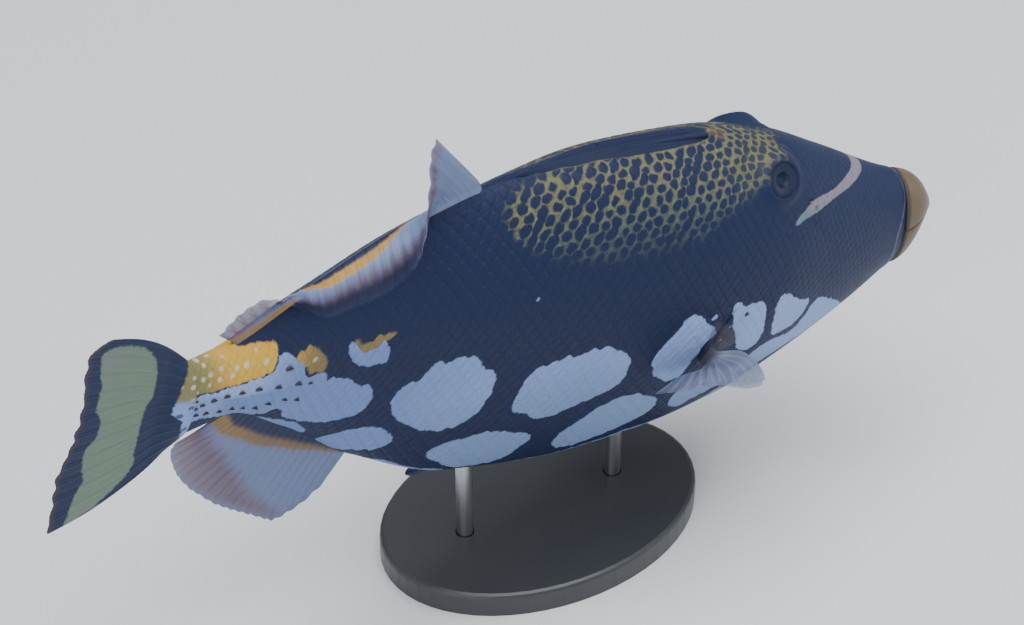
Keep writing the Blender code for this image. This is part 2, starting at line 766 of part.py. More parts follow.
def canoe(name, half_of, depth_of, rise, inset, rings, material):
    """Closed boat-shaped body along the back's groove."""
    first = GROOVE_FRONT - inset
    last = GROOVE_REAR + inset
    sides = 12
    loops = []
    for x in spread(first - 0.002, last + 0.002, rings):
        loop = []
        top = along(BACK_LINE, x)
        for k in range(sides):
            angle = 2.0 * math.pi * k / sides
            across = math.cos(angle) * max(half_of(x), 0.0012)
            up = math.sin(angle)
            z = top + (rise * up if up >= 0.0 else depth_of(x) * up)
            loop.append(posed(x, across, z))
        loops.append(loop)
    return finished(name, rings_to_body(loops), material)


def groove_depth(x):
    """Depth of the groove at x."""
    return max(GROOVE_DEPTH * (groove_width(x) / GROOVE_HALF_WIDTH) ** 0.6, 0.0024)


def folded_width(x):
    """Half-width of the folded fin in its groove."""
    return max(groove_width(x) * 0.50 - GAP, 0.0022)


def folded_depth(x):
    """Depth of the folded fin under the back line."""
    return max(groove_depth(x) - 1.5 * GAP, 0.0012)


def spine_rod(start, length, radius, offset):
    """Tapered spine lying back along the groove."""
    sides = 7
    loops = []
    for t in spread(0.0, 1.0, 6):
        x = start - length * t
        thick = radius * (1.0 - 0.86 * t)
        z = along(BACK_LINE, x) + offset * (1.0 - t * 0.7)
        loop = []
        for k in range(sides):
            angle = 2.0 * math.pi * k / sides
            loop.append(posed(x, math.cos(angle) * thick, z + math.sin(angle) * thick))
        loops.append(loop)
    return finished("folded spine", rings_to_body(loops), None)


def first_dorsal_fin(material):
    """Folded first dorsal fin: its membrane pleated in the groove and its spines laid back on it."""
    fin = canoe("first_dorsal_fin", folded_width, folded_depth, 0.0022, 0.0040, 14, material)
    spines = []
    for k in range(FOLDED_SPINES):
        start = GROOVE_FRONT - 0.010 - 0.036 * k
        spines.append(spine_rod(start, 0.120 - 0.026 * k, 0.0062 - 0.0014 * k, 0.0010))
    union_all(fin, spines)
    return fin


# Lips and pelvic spine
def lip(name, upper, material):
    """One lip: a rounded half ring of flesh that closes the snout."""
    sides = 14
    shares = [0.0, 0.10, 0.30, 0.52, 0.72, 0.88, 1.0]
    start = HEAD_FRONT + GAP
    half_gap = (MOUTH_GAP if upper else -MOUTH_GAP) * 0.5
    loops = []
    for share in shares:
        level = MOUTH_LEVEL + MOUTH_RISE * math.sin(0.5 * math.pi * share) + half_gap
        station = start + (SNOUT_TIP - start) * share
        slant = SNOUT_SLANT * (1.0 - share)
        bulge = LIP_SWELL * math.sin(math.pi * min(share * 1.15 + 0.10, 1.0))
        loop = []
        for k in range(sides):
            angle = math.pi * k / (sides - 1)
            x = station
            for _ in range(4):
                reach = along(BACK_LINE, x) + bulge - level if upper else along(BELLY_LINE, x) - bulge - level
                z = level + math.sin(angle) * reach
                x = station - slant * (z - MOUTH_LEVEL)
            loop.append(posed(x, (along(HALF_WIDTH, x) + bulge) * math.cos(angle), z))
        loops.append(loop)
    return finished(name, rings_to_body(loops), material, 50.0)


def pelvic_spine_body(name, clearance, material):
    """Blunt spine at the end of the pelvic bone, pointing back and down."""
    root_x = PELVIC_X + 0.012
    tip_x = PELVIC_X - 0.020
    root = Vector((root_x, 0.0, along(BELLY_LINE, root_x) + 0.010))
    tip = Vector((tip_x, 0.0, along(BELLY_LINE, tip_x) - 0.010))
    run = tip - root
    sides = 8
    loops = []
    for t, radius in ((0.0, 0.0062), (0.35, 0.0070), (0.70, 0.0062), (0.90, 0.0040), (1.0, 0.0016)):
        middle = root + run * t
        loop = []
        for k in range(sides):
            angle = 2.0 * math.pi * k / sides
            wide = radius + clearance
            loop.append(posed(middle.x + wide * 0.5 * math.sin(angle), wide * math.cos(angle),
                              middle.z + wide * 0.8 * math.sin(angle)))
        loops.append(loop)
    if clearance:
        shift = (loops[0][0] - loops[1][0]).normalized() * NODE_GAP
        loops[0] = [point + shift for point in loops[0]]
    return finished(name, rings_to_body(loops), material)


# Stand
def upright(name, spot, low, high, radius, material):
    """Vertical round rod between two heights."""
    made = bmesh.new()
    bmesh.ops.create_cone(made, cap_ends=True, segments=20, radius1=radius, radius2=radius,
                          depth=high - low)
    for vert in made.verts:
        vert.co += Vector((spot.x, spot.y, 0.5 * (low + high)))
    return finished(name, made, material)


def stand_base(material):
    """Flat oval base with a softened upper edge."""
    loops = []
    for height, inset in ((0.0, 0.0), (BASE_HEIGHT - BASE_EDGE, 0.0),
                          (BASE_HEIGHT - 0.3 * BASE_EDGE, 0.3 * BASE_EDGE), (BASE_HEIGHT, BASE_EDGE)):
        loop = []
        for k in range(BASE_SIDES):
            turn = 2.0 * math.pi * k / BASE_SIDES
            loop.append(Vector(((0.5 * BASE_LENGTH - inset) * math.cos(turn),
                                (0.5 * BASE_WIDTH - inset) * math.sin(turn), height)))
        loops.append(loop)
    return finished("stand_base", rings_to_body(loops), material, 30.0)


# Building
def build():
    """Makes every part of the model."""
    for thing in list(bpy.data.objects):
        bpy.data.objects.remove(thing)

    skin = paint("black skin", (0.018, 0.022, 0.034), 0.42)
    eye_gloss = paint("eye", (0.02, 0.02, 0.025), 0.10)
    lip_skin = paint("orange lip", (0.55, 0.27, 0.045), 0.45)
    tail_skin = paint("black tail fin", (0.02, 0.024, 0.036), 0.45)
    pale_fin = paint("pale fin", (0.62, 0.60, 0.62), 0.40)
    clear_fin = paint("grey pectoral fin", (0.42, 0.45, 0.50), 0.38)
    steel = paint("brushed steel", (0.62, 0.62, 0.62), 0.30, 1.0)
    base_paint = paint("dark base", (0.03, 0.03, 0.032), 0.40)

    # Fins and their root slots
    dorsal, dorsal_slot = median_fin(
        "second_dorsal_fin", (DORSAL_FRONT, DORSAL_REAR, BACK_LINE, 1.0, DORSAL_LENGTH, DORSAL_SWEEP,
                              DORSAL_LEAN, DORSAL_RAYS), pale_fin)
    anal, anal_slot = median_fin(
        "anal_fin", (ANAL_FRONT, ANAL_REAR, BELLY_LINE, -1.0, ANAL_LENGTH, ANAL_SWEEP, ANAL_LEAN,
                     ANAL_RAYS), pale_fin)
    dorsal_slot_rear = duplicate(dorsal_slot)
    anal_slot_rear = duplicate(anal_slot)
    right, right_slot = pectoral_fin("pectoral_fin_right", -1.0, clear_fin)
    left, left_slot = pectoral_fin("pectoral_fin_left", 1.0, clear_fin)
    caudal = caudal_fin(tail_skin)
    folded = first_dorsal_fin(skin)
    pelvic = pelvic_spine_body("pelvic_spine", 0.0, skin)
    pelvic_socket = pelvic_spine_body("pelvic socket", GAP, None)

    # Stand under the belly
    spots = [belly_spot(x) + FISH_PLACE for x in (ROD_FRONT_X, ROD_REAR_X)]
    rods = []
    bores = []
    base_bores = []
    for name, spot in zip(("stand_rod_front", "stand_rod_rear"), spots):
        high = spot.z + ROD_DEPTH_IN_BODY
        low = BASE_HEIGHT - ROD_DEPTH_IN_BASE
        rods.append(upright(name, spot, low, high, ROD_RADIUS, steel))
        wide = ROD_RADIUS + NODE_GAP
        bores.append(upright(name + " bore", spot, spot.z - 0.02, high + NODE_GAP, wide, None))
        base_bores.append(upright(name + " foot", spot, low - NODE_GAP, BASE_HEIGHT + 0.01, wide, None))
    base = stand_base(base_paint)
    cut_all(base, base_bores)

    # Head with lids, eye sockets and nostrils
    head = finished("head", body_length(HEAD_FRONT, HEAD_REAR, 18, 40, head_relief, SNOUT_SLANT), skin)
    union_all(head, [lid_turret(1.0), lid_turret(-1.0)])
    sockets = []
    eyes = []
    for name, side in (("eye_left", 1.0), ("eye_right", -1.0)):
        axes = frame_of(eye_aim(side))
        radii = (EYE_RADIUS, EYE_RADIUS, EYE_RADIUS * 0.94)
        eye = ellipsoid(name, eye_centre(side), axes, radii, 18, 10)
        eye.data.materials.append(eye_gloss)
        eyes.append(eye)
        wide = tuple(radius + GAP for radius in radii)
        sockets.append(ellipsoid(name + " socket", eye_centre(side), axes, wide, 18, 10))
    cut_all(head, sockets + nostrils(1.0) + nostrils(-1.0))

    # Trunk with scutes, groove, gill slits and the slots of its fins
    torso = finished("torso", body_length(HEAD_REAR - GAP, STALK_FRONT, 20, 36, head_relief), skin)
    union_all(torso, scutes(1.0) + scutes(-1.0))
    groove = canoe("groove", lambda x: max(groove_width(x), 0.0026), groove_depth, 0.020, 0.0, 16, None)
    cut_all(torso, [groove, gill_slit(1.0), gill_slit(-1.0), right_slot, left_slot, dorsal_slot,
                    anal_slot, pelvic_socket] + bores)

    # Tail stalk with its thorns
    stalk = finished("tail_stalk", body_length(STALK_FRONT - GAP, 0.0, 10, 32, no_relief), skin)
    union_all(stalk, tail_thorns())
    cut_all(stalk, [dorsal_slot_rear, anal_slot_rear])

    lips = [lip("upper_lip", True, lip_skin), lip("lower_lip", False, lip_skin)]

    fish = bpy.data.objects.new("clown_triggerfish", None)
    bpy.context.scene.collection.objects.link(fish)
    parts = [head, torso, stalk, caudal, dorsal, anal, folded, right, left, pelvic]
    for made in parts + eyes + lips + rods + [base]:
        made.parent = fish


def duplicate(thing):
    """Second copy of a cutter for the neighbouring length of body."""
    copy = thing.copy()
    copy.data = thing.data.copy()
    bpy.context.scene.collection.objects.link(copy)
    return copy


build()
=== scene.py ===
"""Looks of the life-size clown triggerfish on its stand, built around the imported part."""
import math

import bpy
import numpy as np
from mathutils import Matrix, Vector


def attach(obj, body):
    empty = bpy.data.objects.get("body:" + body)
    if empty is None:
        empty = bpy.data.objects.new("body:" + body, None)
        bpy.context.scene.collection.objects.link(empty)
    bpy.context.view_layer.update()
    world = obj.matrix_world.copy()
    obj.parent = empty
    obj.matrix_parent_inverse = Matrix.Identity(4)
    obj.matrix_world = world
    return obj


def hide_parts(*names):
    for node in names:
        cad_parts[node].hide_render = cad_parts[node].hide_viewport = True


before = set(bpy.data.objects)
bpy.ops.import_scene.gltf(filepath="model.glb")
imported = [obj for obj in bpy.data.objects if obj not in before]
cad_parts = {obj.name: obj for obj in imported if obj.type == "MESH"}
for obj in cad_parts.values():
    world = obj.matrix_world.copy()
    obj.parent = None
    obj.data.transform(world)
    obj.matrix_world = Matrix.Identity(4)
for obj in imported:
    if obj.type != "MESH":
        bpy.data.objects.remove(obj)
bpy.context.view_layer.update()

RNG = np.random.default_rng(7)


def table(units, *numbers):
    """Rows of numbers that are given as whole parts of the units."""
    return np.array(numbers).reshape(-1, len(units)) / units


def outline(*numbers):
    """Rows of two numbers that are given in thousandths."""
    return table((1000, 1000), *numbers)


# Sizes and pose, as in the part; MM is the millimetres in a body length
BODY_LENGTH, MM = 0.25, 250
NOSE_DOWN, BANK_RIGHT = math.radians(12.5), math.radians(3.5)
CENTRE_HEIGHT = 0.092
CURVE_FRONT, CURVE_MIDDLE, CURVE_REAR = 0.75, 0.3, 0.07
BEND_TRUNK, BEND_STALK, BEND_TAIL = -0.074, -1.522, 0.323
SPINE_STEP, SPINE_STEPS = 0.0025, 560
ROD_FRONT_X, ROD_REAR_X = 0.64, 0.435
BACK_LINE = table((1000, 10000), 0, 503, 60, 447, 160, 707, 280, 1217, 400, 1624, 520, 1789, 640, 1803, 730,
                  1672, 820, 1350, 900, 1018, 950, 832, 985, 660, 1000, 510, 1006, 420)
BELLY_LINE = table((1000, 10000), 0, -447, 60, -480, 160, -1067, 280, -1944, 400, -2453, 520, -2543, 640,
                   -2385, 730, -2107, 820, -1624, 900, -1065, 950, -663, 985, -375, 1000, -190, 1006, -60)
HALF_WIDTH = table((1000, 10000), 0, 172, 60, 248, 160, 382, 280, 562, 400, 728, 520, 896, 640, 986, 730,
                   947, 820, 752, 900, 532, 950, 372, 985, 265, 1000, 175, 1006, 85)
WIDEST_LEVEL = outline(0, 0, 160, 5, 400, 15, 640, 10, 900, -3, 1006, 14)
BACK_ROUNDNESS = table((1000, 10), 0, 20, 120, 17, 220, 15, 340, 15, 480, 19, 580, 20, 1006, 20)
BELLY_ROUNDNESS = 1.75
HEAD_FRONT, SNOUT_TIP, SNOUT_SLANT, MOUTH_LEVEL, MOUTH_RISE = 0.961, 1.006, 0.19, 0.018, 0.016

# Head features; EYE_MARGIN is how far the saddle stays from each eye
EYE_SPOT, EYE_AIM = np.array([0.716, 0.0405, 0.1345]), np.array([0.04, 0.83, 0.56])
EYE_RADIUS, EYE_FLAT, EYE_OPEN, EYE_SIDES = 0.031, 0.94, 0.0192, 72
IRIS_REACH, PUPIL_REACH, DOME_RINGS = 0.0205, 0.0098, 26
EYE_MARGIN = {1: 0.046, -1: 0.0225}
DOME_REACH, DOME_RISE, LID_REACH, LID_SOFTNESS = 0.05, 0.0045, 0.044, 0.0022
LID_HEIGHTS = table((10000, 10000), 0, 100, 150, 150, 178, 192, 192, 228, 206, 235, 235, 226, 280, 190, 318,
                    140, 375, 30)
NOSTRILS = outline(766, 112, 776, 103)
GILL_PLACE, GILL_LEAN, GILL_HALF = (0.6625, -0.02), 0.28, 0.024
PECTORAL_PLACE = (0.661, -0.062)

# Groove of the folded first dorsal fin
GROOVE_FRONT, GROOVE_REAR, GROOVE_HALF_WIDTH, GROOVE_DEPTH = 0.652, 0.384, 0.0155, 0.015

# Depth of the skin under the scales, and pitches of the scale lattice along the body and down it
SKIN_DEPTH = 0.0006
SCALE_LONG = table((100, 10000), -2, 85, 0, 90, 15, 125, 35, 153, 50, 147, 64, 132, 72, 112, 101, 90)
SCALE_DEEP = table((100, 10000), -2, 55, 0, 56, 15, 98, 35, 122, 50, 118, 64, 104, 72, 86, 101, 66)

# Fins: columns of points from ray to ray, rows from root to edge, and how deep their roots are buried
MEDIAN_STEPS, TAIL_STEPS, FAN_STEPS = 14, 30, 16
MEDIAN_ROWS, TAIL_ROWS, FAN_ROWS = 84, 110, 72
ROOT_DEPTH = 0.0045

# Median fins by place from front to rear: lengths along rays, sweep back and lean to the right in
# degrees, widths in millimetres of the dark fleshy root, the orange band past it and the red edge,
# how sheer the membrane is and how dull
DORSAL = {
    "rays": 24, "front": 0.358, "rear": 0.06,
    "length": table((100, 1000), 0, 110, 5, 107, 12, 92, 21, 73, 30, 62, 50, 56, 73, 50, 93, 38, 100, 28),
    "sweep": table((100, 1), 0, 46, 12, 44, 21, 36, 30, 24, 42, 18, 60, 30, 80, 38, 93, 43, 100, 52),
    "lean": table((100, 1), 0, 4, 4, 13, 8, 25, 12, 43, 21, 82, 30, 103, 40, 115, 52, 110, 64, 94, 71, 72,
                  78, 36, 85, 6, 91, -6, 100, -3),
    "dark": table((100, 10), 0, -8, 22, -6, 30, 7, 42, 19, 58, 19, 70, 4, 76, -8, 100, -8),
    "base": table((100, 10), 0, -6, 22, -4, 30, 12, 42, 42, 56, 46, 70, 18, 82, 22, 100, 26),
    "red": table((100, 10), 0, 30, 6, 50, 12, 80, 20, 90, 30, 76, 45, 76, 65, 70, 80, 65, 92, 85, 100, 100),
    "sheer": table((100, 100), 0, 8, 16, 15, 24, 80, 32, 100, 72, 100, 82, 40, 100, 25),
    "dull": table((100, 100), 0, 60, 20, 40, 28, 0, 74, 0, 84, 50, 100, 75),
}
ANAL = {
    "rays": 22, "front": 0.262, "rear": 0.06,
    "length": table((100, 1000), 0, 50, 8, 83, 20, 110, 40, 113, 62, 107, 80, 94, 92, 77, 100, 58),
    "sweep": table((100, 1), 0, 27, 8, 24, 20, 24, 40, 30, 62, 42, 80, 62, 92, 76, 100, 82),
    "lean": table((10, 1), 0, 0, 4, -4, 7, -16, 10, -24),
    "dark": table((100, 10), 0, -5, 8, 2, 20, 16, 35, 34, 60, 46, 80, 44, 92, 12, 100, -8),
    "base": table((100, 10), 0, -5, 8, 12, 20, 34, 35, 60, 60, 80, 80, 82, 92, 56, 100, 30),
    "red": table((100, 10), 0, 0, 12, 20, 30, 50, 50, 95, 75, 130, 100, 110),
    "sheer": table((1, 100), 0, 0, 1, 25),
    "dull": table((100, 100), 0, 95, 55, 95, 85, 65, 100, 55),
}
CAUDAL_RAYS, CAUDAL_BOW, CAUDAL_SCALLOP, CAUDAL_FLEX = 12, 0.012, 0.0022, 0.004
CAUDAL_EDGE_X = table((100, 10000), 0, -1100, 4, -1270, 10, -1350, 20, -1365, 40, -1390, 60, -1490, 80,
                      -1550, 100, -1560)
CAUDAL_EDGE_Z = table((100, 1000), 0, 122, 4, 120, 10, 108, 20, 84, 40, 36, 60, -4, 80, -48, 100, -97)
PECTORAL_RAYS, PECTORAL_BASE = 10, 0.024
PECTORAL_LENGTH = table((10, 1000), 0, 72, 2, 85, 5, 90, 8, 85, 10, 75)
PECTORAL_TURN = table((10, 1), 0, -22, 2, 2, 4, 22, 6, 39, 8, 56, 10, 76)
PECTORAL_BOW = table((100, 1), 0, -72, 25, -38, 50, 0, 100, 0)
PECTORAL_LIFT = table((10, 1), 0, 1, 2, 9, 5, 16, 8, 4, 10, -13)

# Small armour: pelvic knob by share of its length, thorns by x, girth from the back and size, and
# the large scales behind the gill slit by x and level
PELVIC_X = 0.376
KNOB_RADIUS = table((100, 10000), 0, 62, 35, 70, 70, 62, 90, 40, 100, 10)
THORNS = table((1000, 1000, 10), -1, 47, 7, -1, 56, 8, 7, 54, 9, 21, 53, 10, 38, 54, 10, 58, 58, 10, 81, 66,
               11, 109, 82, 11, 136, 96, 11, 153, 107, 8, 1, 65, 9, 15, 68, 9, 34, 74, 9, 53, 80, 9, 73, 93,
               8, 93, 107, 10, 107, 108, 10, 127, 115, 9, 144, 127, 9, 88, 51, 7, 117, 62, 12, 110, 138, 6)
SCUTES = table((1000, 10000), 646, 20, 631, -60, 644, -165, 629, -245, 642, -350, 627, -430)

# Markings on the flank by x and girth from the back, dots with their radius too, all in parts of a
# body length; TAIL_ROOT and TAIL_PANEL lie on the tail fin and go by x and level
WHITE_BLOTCHES = [
    outline(275, 228, 272, 208, 282, 192, 295, 196, 311, 175, 324, 186, 337, 183, 358, 195, 370, 216, 385,
            231, 392, 255, 391, 279, 382, 302, 358, 311, 340, 305, 319, 290, 291, 258),
    outline(428, 311, 425, 284, 433, 252, 456, 246, 469, 241, 481, 247, 495, 240, 506, 244, 515, 242, 534,
            253, 551, 271, 555, 290, 551, 313, 523, 329, 501, 339, 480, 348, 461, 342, 442, 325),
    outline(590, 304, 583, 274, 591, 250, 599, 237, 604, 221, 616, 216, 630, 224, 637, 233, 652, 243, 655,
            254, 647, 265, 641, 294, 635, 322, 618, 324, 603, 315),
    outline(670, 221, 670, 211, 679, 209, 686, 214, 702, 208, 716, 210, 724, 227, 733, 251, 733, 266, 727,
            281, 714, 286, 697, 274, 680, 243),
    outline(735, 217, 739, 200, 747, 195, 760, 197, 773, 201, 787, 199, 796, 196, 799, 208, 793, 229, 784,
            244, 767, 255, 752, 262, 746, 252, 741, 235),
    outline(808, 204, 816, 193, 834, 191, 873, 196, 890, 205, 868, 230, 837, 262, 800, 290, 760, 320, 730,
            330, 722, 318, 734, 294, 748, 276, 770, 264, 794, 251, 803, 230),
    outline(134, 134, 145, 133, 159, 128, 174, 119, 180, 116, 199, 131, 211, 142, 226, 160, 235, 165, 245,
            186, 244, 199, 236, 212, 223, 211, 200, 205, 173, 188, 143, 159),
    outline(215, 267, 215, 249, 226, 243, 241, 245, 259, 251, 274, 262, 292, 283, 298, 302, 292, 311, 279,
            313, 262, 306, 241, 300),
    outline(350, 357, 357, 343, 389, 342, 410, 343, 434, 355, 473, 381, 469, 404, 464, 424, 446, 439, 407,
            428, 367, 384),
    outline(516, 427, 509, 397, 521, 378, 538, 355, 561, 339, 589, 340, 617, 356, 626, 370, 624, 394, 606,
            413, 572, 430, 546, 443),
    outline(653, 388, 644, 364, 648, 349, 659, 331, 682, 329, 713, 340, 719, 353, 703, 369, 685, 384, 672,
            398),
    outline(116, 151, 140, 166, 170, 192, 190, 222, 190, 235, 170, 218, 140, 188, 120, 166),
    outline(300, 350, 350, 398, 392, 425, 400, 452, 350, 440, 308, 395),
    outline(480, 462, 530, 466, 584, 452, 624, 440, 676, 425, 708, 398, 726, 366, 742, 392, 700, 446, 620,
            474, 520, 482),
    outline(196, 96, 204, 112, 212, 119, 225, 133, 236, 135, 246, 143, 249, 134, 243, 114, 235, 100, 223,
            105, 216, 102, 204, 87, 196, 80),
    outline(-30, 47, 4, 40, 22, 43, 36, 43, 52, 46, 70, 47, 88, 52, 100, 50, 106, 38, 116, 42, 127, 54, 140,
            65, 146, 94, 169, 100, 176, 120, 159, 132, 145, 136, 134, 137, 122, 130, 116, 140, 104, 137, 66,
            103, 34, 84, 14, 75, -30, 70),
]
DOTS = table((1000, 1000, 10000), 414, 143, 28, 644, 225, 46, 670, 265, 26, 675, 246, 28, 6, 106, 90)
DARK_DOTS = table((1000, 1000, 10000), 694, 227, 34)
AXIL = outline(647, 236, 661, 237, 681, 249, 694, 268, 684, 280, 662, 293, 651, 299, 650, 281, 649, 261)
AXIL_LINE = outline(658, 279, 650, 302)
DARK_NEAR = table((10000, 10000), 3760, -200, 3840, 20, 4000, 43, 4240, 56, 4480, 78, 4660, 106, 4900, 117,
                  5300, 114, 5600, 120, 5900, 142, 6150, 132, 6320, 100, 6405, 45, 6450, -20, 6520, -200)
DARK_FAR = table((1000, 10000), 376, -200, 384, 30, 430, 85, 458, 120, 482, 165, 519, 215, 560, 238, 600,
                 260, 625, 235, 636, 170, 642, 60, 645, -20, 652, -200)
YELLOW_PARTS = [
    outline(-30, -20, -30, 36, 4, 39, 22, 42, 38, 42, 52, 45, 70, 46, 88, 51, 98, 51, 105, 37, 104, 24, 84,
            12, 62, 4, 50, -20),
    outline(128, 55, 146, 53, 160, 67, 169, 84, 168, 100, 150, 90, 142, 76),
    outline(200, 76, 216, 94, 232, 94, 252, 104, 238, 106, 222, 108, 206, 94),
]
YELLOW_DOTS = table((1000, 1000, 10000), 89, 36, 34, 65, 27, 36, 52, 25, 32, 45, 31, 32, 29, 30, 29, 32, 19,
                    29, 18, 21, 29, 8, 23, 27, 12, 9, 26, 22, 0, 24, 7, 1, 27, 39, 8, 20, 16, 32, 22, -2,
                    19, 22, -1, 36, 26, 80, 18, 20, 152, 73, 30)
SADDLE = table((1000, 10000), 733, -300, 734, 100, 728, 300, 712, 490, 690, 680, 659, 910, 630, 1060, 615,
               1200, 585, 1260, 540, 1290, 480, 1260, 440, 1090, 402, 830, 380, 580, 377, 340, 384, 200,
               396, 145, 412, 100, 426, 55, 434, -20, 434, -300)
SNOUT_BAND = table((10000, 10000), 8800, -100, 8770, 40, 8720, 165, 8620, 275, 8410, 450, 8065, 680, 7830,
                   850, 7610, 996, 7420, 1110, 7390, 1080, 7570, 890, 7720, 760, 8060, 570, 8290, 400, 8510,
                   195, 8590, 30, 8610, -100)
LIP_LINE = table((10000, 1000), 9400, 0, 9455, 14, 9490, 32, 9460, 57, 9440, 84, 9500, 110, 9550, 135)
TAIL_ROOT = outline(-60, 4, -36, -2, -24, -12, -12, -12, 0, -24, 12, -21, 40, -15, 60, -8, 70, -2)
TAIL_PANEL = outline(-121, 108, -104, 113, -83, 106, -67, 97, -53, 79, -47, 58, -48, 30, -55, 18, -58, -3,
                     -60, -36, -59, -52, -72, -68, -100, -84, -126, -94, -139, -96, -134, -79, -129, -60,
                     -121, -46, -126, -27, -127, -2, -117, 8, -114, 28, -121, 46, -117, 68)
FOLD_PITCH = 0.0156
FOLD_RISE = table((100, 1), 0, 0, 20, 0, 30, 5, 40, 17, 50, 30, 68, 40, 102, 44)


# Curves
def along(pairs, x):
    """Values at x of a smooth curve through the pairs that never overshoots them."""
    px, py = np.asarray(pairs, float).T
    width = np.diff(px)
    rise = np.diff(py) / width
    slope = np.concatenate([rise[:1], np.zeros(len(px) - 2), rise[-1:]])
    for i in range(1, len(px) - 1):
        if rise[i - 1] * rise[i] > 0:
            a, b = 2 * width[i] + width[i - 1], width[i] + 2 * width[i - 1]
            slope[i] = (a + b) / (a / rise[i - 1] + b / rise[i])
    x = np.clip(np.asarray(x, float), px[0], px[-1])
    i = np.clip(np.searchsorted(px, x, side="left") - 1, 0, len(px) - 2)
    width = px[i + 1] - px[i]
    t = (x - px[i]) / width
    start = py[i] * (1 + 2 * t) * (1 - t) ** 2 + slope[i] * width * t * (1 - t) ** 2
    return start + py[i + 1] * t * t * (3 - 2 * t) + slope[i + 1] * width * t * t * (t - 1)


def ease(low, high, x):
    """Smooth step from 0 at low to 1 at high."""
    t = np.clip((np.asarray(x, float) - low) / (high - low), 0, 1)
    return t * t * (3 - 2 * t)


def hump(distance, reach):
    """Soft bell of height 1 about 0."""
    return np.exp(-(distance / reach) ** 2)


def circle(count):
    """Even angles of one turn."""
    return np.linspace(0, 2 * math.pi, count, endpoint=False)


def unit(ways):
    """Ways brought to length 1."""
    return ways / (np.linalg.norm(ways, axis=-1)[..., None] + 1e-15)


def xyz(x, y, z):
    """Points or ways from their three parts."""
    return np.stack(np.broadcast_arrays(x, y, z), -1)


def mirrored(place, side):
    """A place or way on the left, or its mirror on the right for side -1."""
    return place * np.array([1, side, 1])


# Body form
def curvature(x):
    """Sideways curvature of the spine at x."""
    middle = ease(CURVE_MIDDLE - 0.08, CURVE_MIDDLE + 0.08, x)
    rear = ease(CURVE_REAR - 0.05, CURVE_REAR + 0.05, x)
    trunk = BEND_TRUNK * (1 - ease(CURVE_FRONT - 0.05, CURVE_FRONT + 0.05, x)) * middle
    return trunk + BEND_STALK * (1 - middle) * rear + BEND_TAIL * (1 - rear)


def spine_table():
    """Heading and place of the curved spine from the snout back."""
    rows = []
    heading, forward, left = 0, 1, 0
    for i in range(SPINE_STEPS):
        rows.append((heading, forward, left))
        heading += float(curvature(1 - (i + 0.5) * SPINE_STEP)) * SPINE_STEP
        forward -= math.cos(heading) * SPINE_STEP
        left += math.sin(heading) * SPINE_STEP
    return np.array(rows)


SPINE = spine_table()
POSE = np.array(Matrix.Rotation(NOSE_DOWN, 3, "Y") @ Matrix.Rotation(BANK_RIGHT, 3, "X"))


def curved(points):
    """Places of straight-fish points once curved and tilted, about the fish's own middle."""
    x, y, z = np.moveaxis(np.asarray(points, float), -1, 0)
    place = (1 - x) / SPINE_STEP
    i = np.clip(np.floor(place).astype(int), 0, SPINE_STEPS - 2)
    row = SPINE[i] + (SPINE[i + 1] - SPINE[i]) * (place - i)[..., None]
    heading, forward, left = np.moveaxis(row, -1, 0)
    bent = xyz(forward + y * np.sin(heading) - 0.5, left + y * np.cos(heading), z)
    return bent @ POSE.T * BODY_LENGTH


ROD_TOPS = curved([[x, 0, float(along(BELLY_LINE, x))] for x in (ROD_FRONT_X, ROD_REAR_X)]).mean(0)
FISH_PLACE = np.array([-ROD_TOPS[0], -ROD_TOPS[1], CENTRE_HEIGHT])


def posed(points):
    """World places in metres of straight-fish points."""
    return curved(points) + FISH_PLACE


def body_section(x, turn):
    """Points of the straight body's surface at x and an angle from its left over its back."""
    level = along(WIDEST_LEVEL, x)
    side, rise = np.cos(turn), np.sin(turn)
    power = 2 / np.where(rise >= 0, along(BACK_ROUNDNESS, x), BELLY_ROUNDNESS)
    y = along(HALF_WIDTH, x) * np.copysign(np.abs(side) ** power, side)
    reach = np.where(rise >= 0, along(BACK_LINE, x) - level, level - along(BELLY_LINE, x))
    return xyz(x, y, level + reach * np.copysign(np.abs(rise) ** power, rise))


TABLE_X = np.linspace(-0.03, SNOUT_TIP, 640)
TABLE_SHARE = np.linspace(0, 1, 301)


def surface_tables():
    """Left half of the body's surface by x and share of the girth from back to belly, and its normals."""
    grid = body_section(TABLE_X[:, None], np.linspace(0.5 * math.pi, -0.5 * math.pi, 721))
    steps = np.linalg.norm(np.diff(grid, axis=1)[..., 1:], axis=-1)
    arc = np.concatenate([np.zeros((len(TABLE_X), 1)), np.cumsum(steps, axis=1)], axis=1)
    places = np.array([[np.interp(TABLE_SHARE * run[-1], run, row[:, axis]) for axis in range(3)]
                       for run, row in zip(arc, grid)]).transpose(0, 2, 1)
    normals = unit(np.cross(np.gradient(places, TABLE_X, axis=0), np.gradient(places, TABLE_SHARE, axis=1)))
    normals[:, [0, -1], 1] = 0
    return places, normals, arc[:, -1]


PLACES, NORMALS, GIRTHS = surface_tables()


def half_girth(x):
    """Length of skin from the back to the belly at x."""
    return np.interp(x, TABLE_X, GIRTHS)


